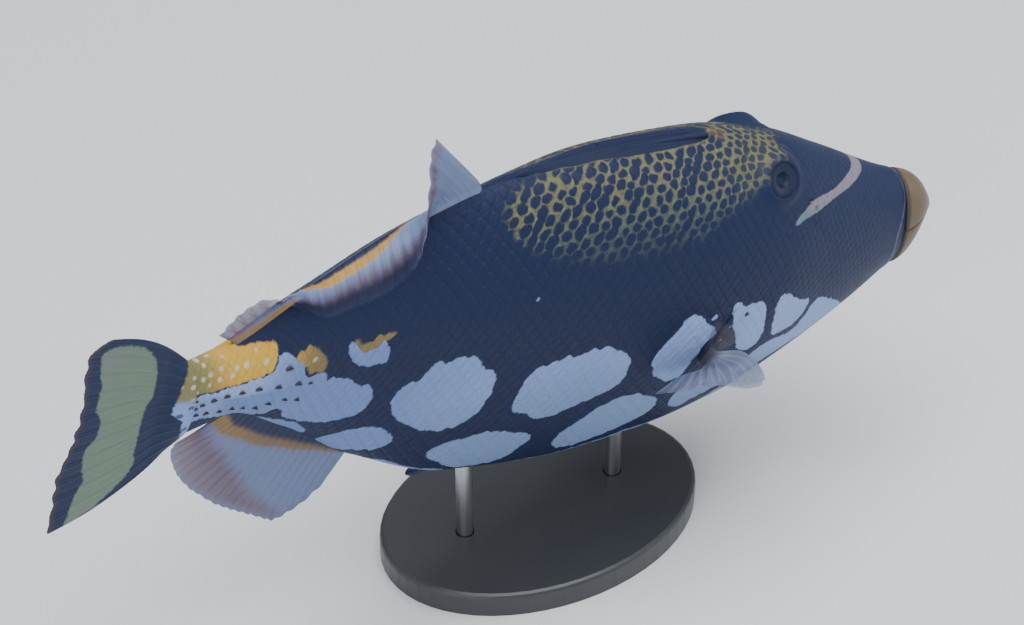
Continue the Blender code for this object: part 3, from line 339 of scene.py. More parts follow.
def bare_skin(x, share, side):
    """Straight-fish points and outward ways of the plain surface, side +1 left and -1 right."""
    x, share, side = np.broadcast_arrays(np.asarray(x, float), share, side)
    fx = np.clip((x - TABLE_X[0]) / (TABLE_X[1] - TABLE_X[0]), 0, len(TABLE_X) - 1.001)
    fs = np.clip(share * (len(TABLE_SHARE) - 1), 0, len(TABLE_SHARE) - 1.001)
    i, j = fx.astype(int), fs.astype(int)
    a, b = (fx - i)[..., None], (fs - j)[..., None]
    flip = xyz(1, side, 1)

    def blend(values):
        low = values[i, j] * (1 - b) + values[i, j + 1] * b
        high = values[i + 1, j] * (1 - b) + values[i + 1, j + 1] * b
        return low * (1 - a) + high * a

    return blend(PLACES) * flip, unit(blend(NORMALS)) * flip


def level_share(x, z):
    """Share of the girth at which the surface at x has level z."""
    i = int(np.clip(np.searchsorted(TABLE_X, x), 0, len(TABLE_X) - 1))
    return float(np.interp(-z, -PLACES[i, :, 2], TABLE_SHARE))


def flat_place(x, z):
    """(x, girth from the back) of a point of the flank."""
    return x, level_share(x, z) * float(half_girth(x))


# Relief of the skin
def groove_half(x):
    """Half-width of the groove on the back."""
    t = np.clip((GROOVE_FRONT - x) / (GROOVE_FRONT - GROOVE_REAR), 0, 1)
    return GROOVE_HALF_WIDTH * np.maximum(np.sin(math.pi * t ** 0.72), 0) ** 0.75


def eye_axes(side):
    """Two directions across the eye and the way it looks."""
    aim = unit(mirrored(EYE_AIM, side))
    first = unit(np.array([1, 0, 0]) - aim * aim[0])
    return first, np.cross(aim, first), aim


def eye_height_and_reach(points, side):
    """Height of points over the eye's middle along its aim, and their reach from that line."""
    aim = eye_axes(side)[2]
    away = points - mirrored(EYE_SPOT, side)
    height = away @ aim
    return height, np.linalg.norm(away - height[..., None] * aim, axis=-1)


def from_slit(x, girth):
    """Distance from the gill slit, distance across its line, and share along it from -1 to 1."""
    sx, sg = flat_place(*GILL_PLACE)
    run = unit(np.array([GILL_LEAN, -1]))
    dx, dg = x - sx, girth - sg
    far = (dx * run[0] + dg * run[1]) / GILL_HALF
    across = dx * run[1] - dg * run[0] + 0.0035 * far ** 2
    return np.hypot(across, np.maximum(np.abs(far) - 1, 0) * GILL_HALF), across, far


def away_from(place, x, girth, narrow=1):
    """Distance over the flank from a place given by x and level."""
    px, pg = flat_place(*place)
    return np.hypot((x - px) * narrow, girth - pg)


def relief(x, girth, points):
    """Rise of the skin over the plain surface, in body lengths."""
    rise = np.zeros_like(girth)
    for side in (1, -1):
        away = np.linalg.norm(points - mirrored(EYE_SPOT + [0, 0.014, 0.01], side), axis=-1) / DOME_REACH
        rise += DOME_RISE * np.clip(1 - away ** 2, 0, 1) ** 2
    wide = np.maximum(groove_half(x), 1e-5)
    depth = GROOVE_DEPTH * (wide / GROOVE_HALF_WIDTH) ** 0.6
    inside = np.clip(1 - (girth / wide) ** 2, 0, 1)
    present = ease(0.0015, 0.004, wide)
    rise += present * (0.0012 * hump(girth - wide, 0.004) - depth * inside ** 0.8 * ease(0, 0.25, inside))
    near, across, far = from_slit(x, girth)
    rise += 0.0014 * hump(across - 0.0045, 0.0035) * ease(1.15, 0.85, np.abs(far))
    rise -= 0.0075 * hump(near, 0.0016)
    for place in NOSTRILS:
        away = away_from(place, x, girth)
        rise += 0.0012 * hump(away - 0.004, 0.0014) - 0.005 * hump(away, 0.0026)
    gx, gg = flat_place(0.768, 0.088)
    rise -= 0.0018 * hump(girth - gg - 0.25 * (x - gx), 0.006) * hump(x - gx, 0.03)
    rise += 0.002 * hump(away_from(PECTORAL_PLACE, x, girth, 0.8), 0.016)
    for place in SCUTES:
        rise += 0.0015 * hump(away_from(place, x, girth), 0.008)
    chin = half_girth(x) - girth
    fins = ease(0.04, 0.075, x)
    rise += 0.0022 * fins * hump(girth, 0.0075) * ease(0.372, 0.34, x)
    rise += 0.0022 * fins * hump(chin, 0.0075) * ease(0.28, 0.25, x)
    rise += 0.001 * hump(chin, 0.01) * ease(0.36, 0.42, x) * ease(0.95, 0.8, x)
    return rise - 0.0009 * hump(x - 0.668 - 0.06 * np.sin(girth * 12), 0.012) * ease(0.16, 0.24, girth)


def over_skin(x, share, side, lift):
    """Straight-fish points of the modelled skin, raised by lift, with lids about the eyes."""
    point, normal = bare_skin(x, share, side)
    point = point + normal * (relief(x, share * half_girth(x), point) + lift)[..., None]
    for eye in (1, -1):
        height, reach = eye_height_and_reach(point, eye)
        near = (reach < LID_REACH) & (height > -0.004) & (np.sign(point[..., 1] + 1e-9) == eye)
        aim, centre = eye_axes(eye)[2], mirrored(EYE_SPOT, eye)
        tall, far = height[near], reach[near]
        snapped = np.where(np.abs(far - EYE_OPEN) < 0.0011, EYE_OPEN, far)
        creases = 0.00022 * np.cos((snapped - 0.0206) * 1500) * ease(0.0206, 0.0225, snapped)
        lid = along(LID_HEIGHTS, snapped) + creases * ease(0.04, 0.03, snapped)
        joined = LID_SOFTNESS * np.log(np.exp(tall / LID_SOFTNESS) + np.exp(lid / LID_SOFTNESS))
        inner = ease(EYE_OPEN + 0.0006, EYE_OPEN - 0.0006, snapped)
        new = joined * (1 - inner) + lid * inner
        new = new * ease(LID_REACH, 0.038, far) + tall * ease(0.038, LID_REACH, far)
        spoke = (point[near] - centre - tall[:, None] * aim) / np.maximum(far, 1e-6)[:, None]
        point[near] = centre + spoke * snapped[:, None] + new[:, None] * aim
    return point


# Lattice of the scales
LATTICE_X = np.linspace(-0.03, 1.02, 1201)
LATTICE_RUN = np.append(0, np.cumsum(np.diff(LATTICE_X) / along(
    SCALE_LONG, 0.5 * (LATTICE_X[1:] + LATTICE_X[:-1]))))


def to_lattice(x, girth):
    """Lattice coordinates whose whole numbers are the middles of the scales."""
    run = np.interp(x, LATTICE_X, LATTICE_RUN)
    row = girth / along(SCALE_DEEP, x)
    return run + 0.5 * row, run - 0.5 * row


def from_lattice(u, v):
    """(x, girth) of lattice coordinates."""
    x = np.interp(0.5 * (u + v), LATTICE_RUN, LATTICE_X)
    return x, (u - v) * along(SCALE_DEEP, x)


# Markings
def from_runs(starts, ends, x, girth):
    """Distance from the nearest of the straight runs between starts and ends."""
    best = np.full(x.shape, 1e9)
    for (ax, ag), (bx, bg) in zip(starts, ends):
        dx, dg = bx - ax, bg - ag
        t = np.clip(((x - ax) * dx + (girth - ag) * dg) / (dx * dx + dg * dg + 1e-15), 0, 1)
        best = np.minimum(best, (x - ax - t * dx) ** 2 + (girth - ag - t * dg) ** 2)
    return np.sqrt(best)


def inside_by(points, x, girth, parts=6, reach=0.05):
    """Millimetres inside the closed outline that rounds through the points, negative outside it."""
    before, after, beyond = [np.roll(points, shift, 0) for shift in (1, -1, -2)]
    outline = np.stack([0.5 * (2 * points + (after - before) * t
                               + (2 * before - 5 * points + 4 * after - beyond) * t * t
                               + (3 * points - before - 3 * after + beyond) * t ** 3)
                        for t in np.arange(parts) / parts], 1).reshape(-1, 2)
    low, high = outline.min(0) - reach, outline.max(0) + reach
    near = (x > low[0]) & (x < high[0]) & (girth > low[1]) & (girth < high[1])
    px, pg = x[near], girth[near]
    ends = np.roll(outline, -1, 0)
    within = np.zeros(px.shape, bool)
    for (ax, ag), (bx, bg) in zip(outline, ends):
        within ^= ((ag > pg) != (bg > pg)) & (px < (bx - ax) * (pg - ag) / (bg - ag or 1e-12) + ax)
    result = np.full(x.shape, -reach)
    result[near] = from_runs(outline, ends, px, pg) * np.where(within, 1, -1)
    return result * MM


def within_dots(dots, x, girth):
    """Millimetres inside the nearest of a few round spots."""
    return MM * np.max([size - np.hypot(x - dx, girth - dg) for dx, dg, size in dots] + [-0.05 + 0 * x], 0)


def from_line(points, x, girth, half):
    """Millimetres inside a band of given half-width about an open line."""
    return np.clip(half - from_runs(points, points[1:], x, girth), -0.05, 1) * MM


def fold_drift(x):
    """Rise of the skin's fold lines toward the head."""
    steps = np.linspace(0, 1.02, 205)
    slope = np.tan(np.radians(along(FOLD_RISE, steps)))
    return np.interp(x, steps, np.append(0, np.cumsum(slope[1:] * np.diff(steps))))


def markings(x, girth, side):
    """Marking fields at flat places: how far inside each kind of marking a point lies."""
    def inside(outlines):
        return np.max([inside_by(outline, x, girth) for outline in outlines], 0)

    white = np.max([inside(WHITE_BLOTCHES), within_dots(DOTS, x, girth),
                    from_line(AXIL_LINE, x, girth, 0.0009)], 0)
    thorn_roots = [(tx + 0.0012, tg, 0.0026 * size) for tx, tg, size in THORNS]
    white = np.minimum(white, -within_dots([*DARK_DOTS, *thorn_roots], x, girth))
    dark_edge = np.where(side > 0, *[np.interp(x, *line.T) for line in (DARK_FAR, DARK_NEAR)])
    saddle = inside_by(SADDLE, x, girth)
    point = bare_skin(x, girth / half_girth(x), side)[0]
    for eye, margin in EYE_MARGIN.items():
        reach = eye_height_and_reach(point, eye)[1]
        saddle = np.minimum(saddle, np.where(side == eye, (reach - margin) * MM, 50))
    return {
        "flat_place": xyz(x * MM, girth * MM, side * 100),
        "scale_place": xyz(*to_lattice(x, girth), side * 10),
        "white_in": white, "yellow_in": inside(YELLOW_PARTS), "saddle_in": saddle,
        "band_in": inside_by(SNOUT_BAND, x, girth), "lip_line_in": from_line(LIP_LINE, x, girth, 0.0021),
        "dots_in": within_dots(YELLOW_DOTS, x, girth), "groove_out": (girth - dark_edge) * MM,
        "axil_in": inside_by(AXIL, x, girth), "fold": (girth + fold_drift(x)) / FOLD_PITCH,
    }


# Mesh making
def made(name, points, faces, look, slot, fields, *replaced):
    """Closed piece from points and faces, facing outward, riding on the body."""
    mesh = bpy.data.meshes.new(name)
    mesh.from_pydata(np.asarray(points).tolist(), [], faces)
    mesh.update()
    mesh.shade_smooth()
    for key, values in fields.items():
        kind, part = ("FLOAT_VECTOR", "vector") if values.ndim == 2 else ("FLOAT", "value")
        mesh.attributes.new(key, kind, "POINT").data.foreach_set(part, values.astype(np.float32).ravel())
    piece = bpy.data.objects.new(name, mesh)
    bpy.context.scene.collection.objects.link(piece)
    mesh.materials.append(look)
    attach(piece, "root")
    if replaced:
        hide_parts(*replaced)
    return piece


def turned_out(points, faces):
    """The faces of one closed body, turned so that they face out."""
    volume = 0
    for size in (3, 4):
        some = np.array([face for face in faces if len(face) == size], int).reshape(-1, size)
        for k in range(1, size - 1):
            a, b, c = [points[some[:, corner]] - points[0] for corner in (0, k, k + 1)]
            volume += float(np.einsum("ij,ij->", a, np.cross(b, c)))
    return faces if volume > 0 else [face[::-1] for face in faces]


def grid_faces(rows, columns, wrap):
    """Quads of a grid of rows by columns, closed around if wrapped."""
    return [(i * columns + j, i * columns + k, (i + 1) * columns + k, (i + 1) * columns + j)
            for i in range(rows - 1) for j in range(columns if wrap else columns - 1)
            for k in [(j + 1) % columns]]


def tube_faces(rows, columns):
    """Faces of a closed tube of rings, with the middle points of its two ends after its own points."""
    faces = [face[::-1] for face in grid_faces(rows, columns, True)]
    first, end = rows * columns, (rows - 1) * columns
    for j in range(columns):
        k = (j + 1) % columns
        faces += [(first, j, k), (first + 1, end + k, end + j)]
    return faces


def tubes(name, bodies, look, slot, fields, *replaced):
    """Closed tubes through grids of straight-fish rings as one piece; each field has a grid to a tube."""
    points, faces, full = [], [], {key: [] for key in fields}
    for k, rings in enumerate(bodies):
        world = posed(rings)
        own = np.concatenate([world.reshape(-1, 3), world[:1].mean(1), world[-1:].mean(1)])
        own_faces = turned_out(own, tube_faces(*rings.shape[:2]))
        faces += [tuple(len(points) + i for i in face) for face in own_faces]
        points.extend(own)
        for key, grids in fields.items():
            flat = grids[k].reshape(len(own) - 2, -1)
            full[key] += [flat, flat[:1], flat[-1:]]
    fields = {key: np.concatenate(rows).squeeze() for key, rows in full.items()}
    return made(name, points, faces, look, slot, fields, *replaced)


# Shader building
class Value:
    """A number or colour in a shader: | takes the larger of two numbers, & the smaller."""

    def __init__(self, mixer, socket):
        self.mixer, self.socket = mixer, socket

    def __abs__(self):
        return self.mixer.sum("ABSOLUTE", self)


def operation(name, turned):
    """Method of Value that makes one step of a sum, with the value second if turned."""
    def work(self, other):
        return self.mixer.sum(name, *((other, self) if turned else (self, other)))
    return work


for sign, label in (("add", "ADD"), ("sub", "SUBTRACT"), ("mul", "MULTIPLY"), ("pow", "POWER"),
                    ("or", "MAXIMUM"), ("and", "MINIMUM")):
    setattr(Value, f"__{sign}__", operation(label, False))
    setattr(Value, f"__r{sign}__", operation(label, True))


class Mixer:
    """Small maker of shader nodes in one tree."""

    def __init__(self, tree):
        self.tree = tree

    def node(self, kind, **settings):
        made_node = self.tree.nodes.new("ShaderNode" + kind)
        for key, value in settings.items():
            setattr(made_node, key, value)
        return made_node

    def out(self, node, given, output=0):
        """Feeds a node's inputs and gives one of its outputs."""
        for key, value in given.items():
            socket = node.inputs[key]
            if isinstance(value, Value):
                self.tree.links.new(value.socket, socket)
            else:
                socket.default_value = (*value, 1) if socket.type == "RGBA" else value
        return Value(self, node.outputs[output]) if node.outputs else None

    def field(self, name):
        return self.out(self.node("Attribute", attribute_type="GEOMETRY", attribute_name=name), {}, "Fac")

    def place(self, name):
        return self.out(self.node("Attribute", attribute_type="GEOMETRY", attribute_name=name), {}, "Vector")

    def spot(self):
        return self.out(self.node("TexCoord"), {}, "Object")

    def sum(self, operation, *given):
        return self.out(self.node("Math", operation=operation), dict(enumerate(given)))

    def way(self, operation, *given):
        step = self.node("VectorMath", operation=operation)
        return self.out(step, dict(enumerate(given)), "Value" if operation == "DISTANCE" else "Vector")

    def parts(self, vector):
        split = self.node("SeparateXYZ")
        self.out(split, {0: vector})
        return [Value(self, part) for part in split.outputs]

    def joined(self, x, y, z=0):
        return self.out(self.node("CombineXYZ"), {0: x, 1: y, 2: z})

    def step(self, value, low, high, start=0, finish=1):
        given = {"Value": value, "From Min": low, "From Max": high, "To Min": start, "To Max": finish}
        return self.out(self.node("MapRange", interpolation_type="SMOOTHSTEP"), given, "Result")

    def noise(self, vector, scale, detail=3, rough=0.5, output="Fac"):
        given = {"Vector": vector, "Scale": scale, "Detail": detail, "Roughness": rough}
        return self.out(self.node("TexNoise"), given, output)

    def grain(self, place, stretch, detail=4, rough=0.6):
        """The shader group of grain, placed with its own values."""
        return self.use(GRAIN, Place=place, Stretch=stretch, Detail=detail, Roughness=rough)["Grain"]

    def cells(self, vector, scale, randomness=1):
        given = {"Vector": vector, "Scale": scale, "Randomness": randomness}
        return self.out(self.node("TexVoronoi"), given, "Distance")

    def mix(self, share, a, b, blend="MIX"):
        blender = self.node("Mix", data_type="RGBA", blend_type=blend)
        return self.out(blender, {"Factor": share, 6: a, 7: b}, 2)

    def over(self, colour, *layers):
        """A colour with layers of share and colour laid over it one by one."""
        for share, layer in layers:
            colour = self.mix(share, colour, layer)
        return colour

    def use(self, tree, **given):
        """Values that a shader group puts out, placed with its own values."""
        placed = self.node("Group", node_tree=tree)
        self.out(placed, given)
        return {socket.name: Value(self, socket) for socket in placed.outputs}


def group(name, pattern, **inputs):
    """Shader node group with named inputs that puts out the pattern's values."""
    tree = bpy.data.node_groups.new(name, "ShaderNodeTree")
    for label, value in inputs.items():
        kind = "NodeSocketVector" if isinstance(value, tuple) else "NodeSocketFloat"
        tree.interface.new_socket(label, in_out="INPUT", socket_type=kind).default_value = value
    m = Mixer(tree)
    given = list(tree.nodes.new("NodeGroupInput").outputs)[:len(inputs)]
    values = pattern(m, *[Value(m, socket) for socket in given])
    for label in values:
        kind = "NodeSocketColor" if label == "Colour" else "NodeSocketFloat"
        tree.interface.new_socket(label, in_out="OUTPUT", socket_type=kind)
    m.out(tree.nodes.new("NodeGroupOutput"), values)
    return tree


def material(name, look, roughness, coat=0, coat_roughness=0.1, specular=0.5, metallic=0):
    """Principled material with plain values and those of its look, where Normal is a height to raise."""
    made_material = bpy.data.materials.new(name)
    made_material.use_nodes = True
    m = Mixer(made_material.node_tree)
    given = {"Roughness": roughness, "Coat Weight": coat, "Coat Roughness": coat_roughness,
             "Specular IOR Level": specular, "Metallic": metallic, **look(m)}
    if "Normal" in given:
        raised = dict(zip(("Height", "Distance", "Strength"), given["Normal"]))
        given["Normal"] = m.out(m.node("Bump"), raised, "Normal")
    m.out(m.tree.nodes["Principled BSDF"], given)
    return made_material


# Colours
BLACK_SKIN = (0.0122, 0.02, 0.059)
BLACK_WARM = (0.0145, 0.0212, 0.056)
BLACK_HEAD = (0.0165, 0.0255, 0.069)
WHITE_SKIN = (0.225, 0.32, 0.59)
WHITE_SHADE = (0.175, 0.255, 0.49)
WHITE_FRONT = (0.29, 0.39, 0.68)
# Painted shade: whites of the lower flank and belly, darker for the shade under the body
WHITE_BELLY_SHADE = (0.15, 0.225, 0.365)
WHITE_REAR = (0.142, 0.212, 0.43)
WHITE_STALK = (0.262, 0.35, 0.61)
YELLOW_DIM = (0.13, 0.112, 0.066)
NET_YELLOW = (0.15, 0.148, 0.07)
NET_GREEN = (0.088, 0.114, 0.084)
STALK_YELLOW = (0.56, 0.34, 0.05)
STALK_OLIVE = (0.195, 0.178, 0.076)
BAND_PINK = (0.225, 0.205, 0.245)
BAND_GREEN = (0.145, 0.205, 0.24)
LIP_VIOLET = (0.115, 0.118, 0.215)
DOT_CREAM = (0.52, 0.5, 0.43)
ORANGE_SPOT = (0.175, 0.12, 0.06)
AXIL_BROWN = (0.058, 0.055, 0.082)
FIN_WHITE = (0.18, 0.245, 0.415)
FIN_LILAC = (0.165, 0.21, 0.43)
FIN_RED = (0.145, 0.05, 0.082)
FIN_ROSE = (0.185, 0.092, 0.135)
FIN_ORANGE = (0.44, 0.235, 0.042)
FIN_AMBER = (0.3, 0.18, 0.046)
FIN_DULL = (0.165, 0.11, 0.072)
TAIL_BLACK = (0.0135, 0.0225, 0.06)
PANEL_GREEN = (0.118, 0.178, 0.142)
PANEL_YELLOW = (0.145, 0.196, 0.132)
PANEL_LIGHT = (0.182, 0.245, 0.195)
PANEL_PINK = (0.15, 0.158, 0.185)
LIP_ORANGE = (0.142, 0.099, 0.05)
LIP_BROWN = (0.108, 0.085, 0.056)


# Living skin and scales
def grain_pattern(m, place, stretch, detail, roughness):
    """Noise of scale 1 over a stretched place."""
    return {"Grain": m.noise(m.way("MULTIPLY", place, stretch), 1, detail, roughness)}


def hole_pattern(m):
    """Distance in millimetres outside the nearest round hole of the saddle's network."""
    u, v, side = m.parts(m.place("scale_place"))
    spot = m.joined((u + v) * 0.5, (u - v) * 0.5, side)
    stir = m.way("SUBTRACT", m.noise(spot, 1.5, 2, 0.5, "Color"), (0.5, 0.5, 0.5))
    spot = m.way("ADD", spot, m.way("MULTIPLY", stir, (0.56, 0.42, 0)))
    holes = []
    for shift in (0.5, 0):
        middle = m.way("FLOOR", m.way("ADD", spot, (shift, shift, 0.5)))
        middle = m.way("ADD", middle, (0.5 - shift, 0.5 - shift, 0))
        own = m.node("TexWhiteNoise", noise_dimensions="3D")
        chances = m.parts(m.out(own, {"Vector": m.way("ADD", middle, (0.25, 0.25, 0.25))}, "Color"))
        off = m.parts(m.way("MULTIPLY", m.way("SUBTRACT", spot, middle), (3.6, 5.9, 0)))
        dx = (chances[0] - 0.5) * 0.9 + off[0]
        dy = (chances[1] - 0.5) * 0.7 + off[1]
        stretched = (dx * 0.62 - dy * 0.78) * (chances[2] ** 2.5 * -0.52 + 1)
        cross_run = dx * 0.78 + dy * 0.62
        far = m.sum("SQRT", stretched * stretched + cross_run * cross_run)
        holes.append((far - (chances[1] * 0.3 + 1.06), chances[0]))
    return {"Away": holes[0][0] & holes[1][0], "Chance": holes[0][1]}


def skin_pattern(m, painted_shade, roughness):
    """The markings of the skin as a colour with a share of painted shade, with its roughness and a fine
    height.
    """
    place = m.place("flat_place")
    wander, tone, speck = m.noise(place, 0.55, 3, 0.55), m.noise(place, 0.06, 2), m.noise(place, 3.2, 2)
    ragged = (wander - 0.5) * 1.6
    forward, girth, _ = m.parts(place)

    def inside(name, loose, low, high, *ends):
        """Share inside a marking, with its edge loosened."""
        return m.step(m.field(name) + ragged * loose, low, high, *ends)

    # Network of the saddle: one dark rounded hole to a scale, between yellow strands
    holes = m.use(HOLES)
    front = m.step(forward, 156, 176)
    strand = m.step(front * 0.16 + holes["Away"], -0.16, 0.46) | front * 0.14
    lips_out = m.field("groove_out") + ragged * 0.5
    strand = strand | m.step(lips_out, 1.1, 0.4) * 0.7
    deep = m.step(girth + ragged * 3, 31, 18, 0.36, 1) * m.step(lips_out, -0.1, 0.4)
    glint = m.noise(place, 0.8, 3) * 0.9 + 0.42
    net = strand * inside("saddle_in", 2.2, -1.6, 2.6) * deep * (glint & 1)

    # Masks of the other markings; white edges step along the scales
    loose = ragged * 0.7
    white = m.step(m.field("white_in") + (holes["Chance"] - 0.5) * 0.3 + loose, -0.12, 0.3)
    yellow = inside("yellow_in", 0.8, -0.25, 0.45)
    band = inside("band_in", 0.3, -0.1, 0.25)
    brown = inside("axil_in", 1, -0.7, 0.9, 0, 0.9)
    spot_away = m.way("DISTANCE", m.joined(forward, girth, 0), (163.8, 1, 0))
    spot = m.step(spot_away, 2.8, 1.4) * m.step(spot_away, 0.2, 1.2, 0.15, 0.45)
    # Fold lines of the skin: a groove in the fine height, and painted shade along them in the whites
    fold_groove_and_shade = m.step(abs(m.sum("FRACT", wander * 0.25 + m.field("fold")) - 0.5), 0.1, 0)
    row = forward * -0.4 + girth
    behind = m.step(forward, 24, 36) | m.step(row, 9.4, 11) * m.step(forward, 5, 13)

    pale = m.over(
        m.mix(speck * 0.5 + tone * 0.5, WHITE_SHADE, WHITE_SKIN),
        # painted shade along the fold lines
        (m.step(forward, 120, 165, 0, 0.8), WHITE_FRONT), (fold_groove_and_shade * 0.28, WHITE_SHADE),
        # painted shade on the whites toward the belly
        (m.step(girth, 62, 84, 0, 0.65), WHITE_BELLY_SHADE),
        (m.step(forward, 100, 60, 0, 0.85) * behind, WHITE_REAR),
        (m.step(row, 10.4, 8.8) * m.step(forward, 26, 20), WHITE_STALK))
    warm = m.over(STALK_OLIVE, (m.step(forward, 0.5, 13), STALK_YELLOW),
                  (m.step(forward, 24, 40, 0, 0.85), YELLOW_DIM))
    colour = m.over(
        m.mix(tone, BLACK_SKIN, BLACK_WARM), (m.step(forward, 150, 215), BLACK_HEAD),
        (net, m.mix(m.step(girth, 24, 10), NET_GREEN, NET_YELLOW)), (spot, ORANGE_SPOT),
        (white, pale), (brown * (1 - white * 0.45), AXIL_BROWN), (yellow, warm),
        (inside("dots_in", 0.2, -0.35, 0.3) * (yellow * 0.8), DOT_CREAM),
        (band * 0.96, m.mix(m.step(girth, 26, 18), BAND_GREEN, BAND_PINK)),
        (inside("lip_line_in", 0.4, -0.15, 0.35) * 0.85, LIP_VIOLET))
    # Painted shade for the skin seen in the furrows between the scales: the colour multiplied toward
    # blue-grey, mixed in by the shade share
    deep = m.mix(1, colour, (0.36, 0.38, 0.44), "MULTIPLY")
    rough = m.noise(place, 0.35, 2) * 0.14 + ((white | band | yellow) * 0.08 + (roughness - 0.07))
    lines = m.grain(place, (0.8, 3.4, 1))
    height = fold_groove_and_shade * -0.9 + (m.cells(place, 2.6) * 0.45 + lines * 0.8)
    return {"Colour": m.mix(painted_shade, colour, deep), "Roughness": rough, "Height": height}


def skin_look(m, painted_shade, roughness):
    """Living skin or scales with the markings."""
    looks = m.use(PATTERN, Darken=painted_shade, Roughness=roughness)
    return {"Base Color": looks["Colour"], "Roughness": looks["Roughness"],
            "Normal": (looks["Height"], 0.0001, 0.55)}


GRAIN = group("grain", grain_pattern, Place=(0, 0, 0), Stretch=(1, 1, 1), Detail=4, Roughness=0.6)
HOLES = group("network holes", hole_pattern)
PATTERN = group("clown markings", skin_pattern, Darken=0, Roughness=0.5)
# The living skin gets a small share of painted shade for the furrows between the scales; the scales get none
SKIN = material("living skin", lambda m: skin_look(m, 0.03, 0.52), 0.52, 0.02, 0.3, 0.13)
SCALE = material("scales", lambda m: skin_look(m, 0, 0.5), 0.5, 0.025, 0.3, 0.13)

# Skin of head, trunk and stalk in one piece, with rings closest together about the eyes and the snout
SKIN_SIDES = 152
RING_RUNS = [(-0.0125, 0.03, 22), (0.03, 0.64, 168), (0.64, 0.8, 84), (0.8, HEAD_FRONT, 48)]


def skin_piece():
    """One skin for head, trunk and tail stalk."""
    down = np.linspace(0, 1, SKIN_SIDES + 1)
    sides = np.append(np.ones(SKIN_SIDES + 1), -np.ones(SKIN_SIDES - 1))
    stations = [np.linspace(*run, endpoint=False) for run in RING_RUNS] + [[HEAD_FRONT]]
    station, share = np.meshgrid(np.concatenate(stations), np.append(down, down[-2:0:-1]), indexing="ij")
    side = np.broadcast_to(sides, station.shape)
    x = station
    for _ in range(4):
        level = bare_skin(x, share, side)[0][..., 2]
        x = station - SNOUT_SLANT * ease(0.78, HEAD_FRONT, station) * (level - MOUTH_LEVEL)
    girth = share * half_girth(x)
    furrow = np.min([np.abs(w - np.floor(w) - 0.5) for w in to_lattice(x, girth)], 0)
    lift = -SKIN_DEPTH - 0.0001 * ease(0.14, 0, furrow) * ease(0.93, 0.86, x)
    lift = lift - 0.0016 * ease(HEAD_FRONT - 0.01, HEAD_FRONT, station) ** 2
    lift = lift + 0.0006 * hump(station - HEAD_FRONT + 0.014, 0.006)
    points = over_skin(x, share, side, lift)
    tail = np.clip(-x / 0.0125, 0, 1)
    points[..., 1] *= 1 - 0.2 * tail ** 2 - 0.55 * ease(0.93, 1, tail)
    points[..., 2] *= 1 + 0.1 * tail - 0.06 * ease(0.93, 1, tail)
    fields = markings(x.ravel(), girth.ravel(), side.ravel())
    tubes("skin", [points], SKIN, "skin", {key: [values] for key, values in fields.items()},
          "head", "torso", "tail_stalk")


# Scales as solid plates set in the skin: reach and height of each ring of a plate
RIM_POINTS = 13
PLATE_RINGS = [(0.498, -1), (0.47, 0.12), (0.34, 0.8)]
PLATE_RISE = 0.00018


def plate_sites(side):
    """Lattice middles of the scales on one side, apart from the bare places."""
    grid = np.arange(-40, 140)
    u, v = [part.ravel().astype(float) for part in np.meshgrid(grid, grid)]
    x, girth = from_lattice(u, v)
    full, deep = half_girth(x), along(SCALE_DEEP, x)
    keep = (girth > 0.25 * deep) & (girth < full - 0.45 * deep) & (x > -0.006) & (x < 0.905)
    u, v, x, girth, full = [values[keep] for values in (u, v, x, girth, full)]
    reach = eye_height_and_reach(bare_skin(x, girth / full, side)[0], side)[1]
    groove = groove_half(x)
    clear = (reach > 0.043) & (girth > groove + 0.0085 * ease(0, 0.004, groove))
    clear &= (from_slit(x, girth)[0] > 0.0085) & (away_from(PECTORAL_PLACE, x, girth) > 0.0175)
    clear &= ~((x > 0.045) & (x < 0.372) & (girth < 0.012))
    clear &= ~((x > 0.045) & (x < 0.28) & (full - girth < 0.012))
    for place in NOSTRILS:
        clear &= away_from(place, x, girth) > 0.0085
    return u[clear], v[clear], x[clear], girth[clear]


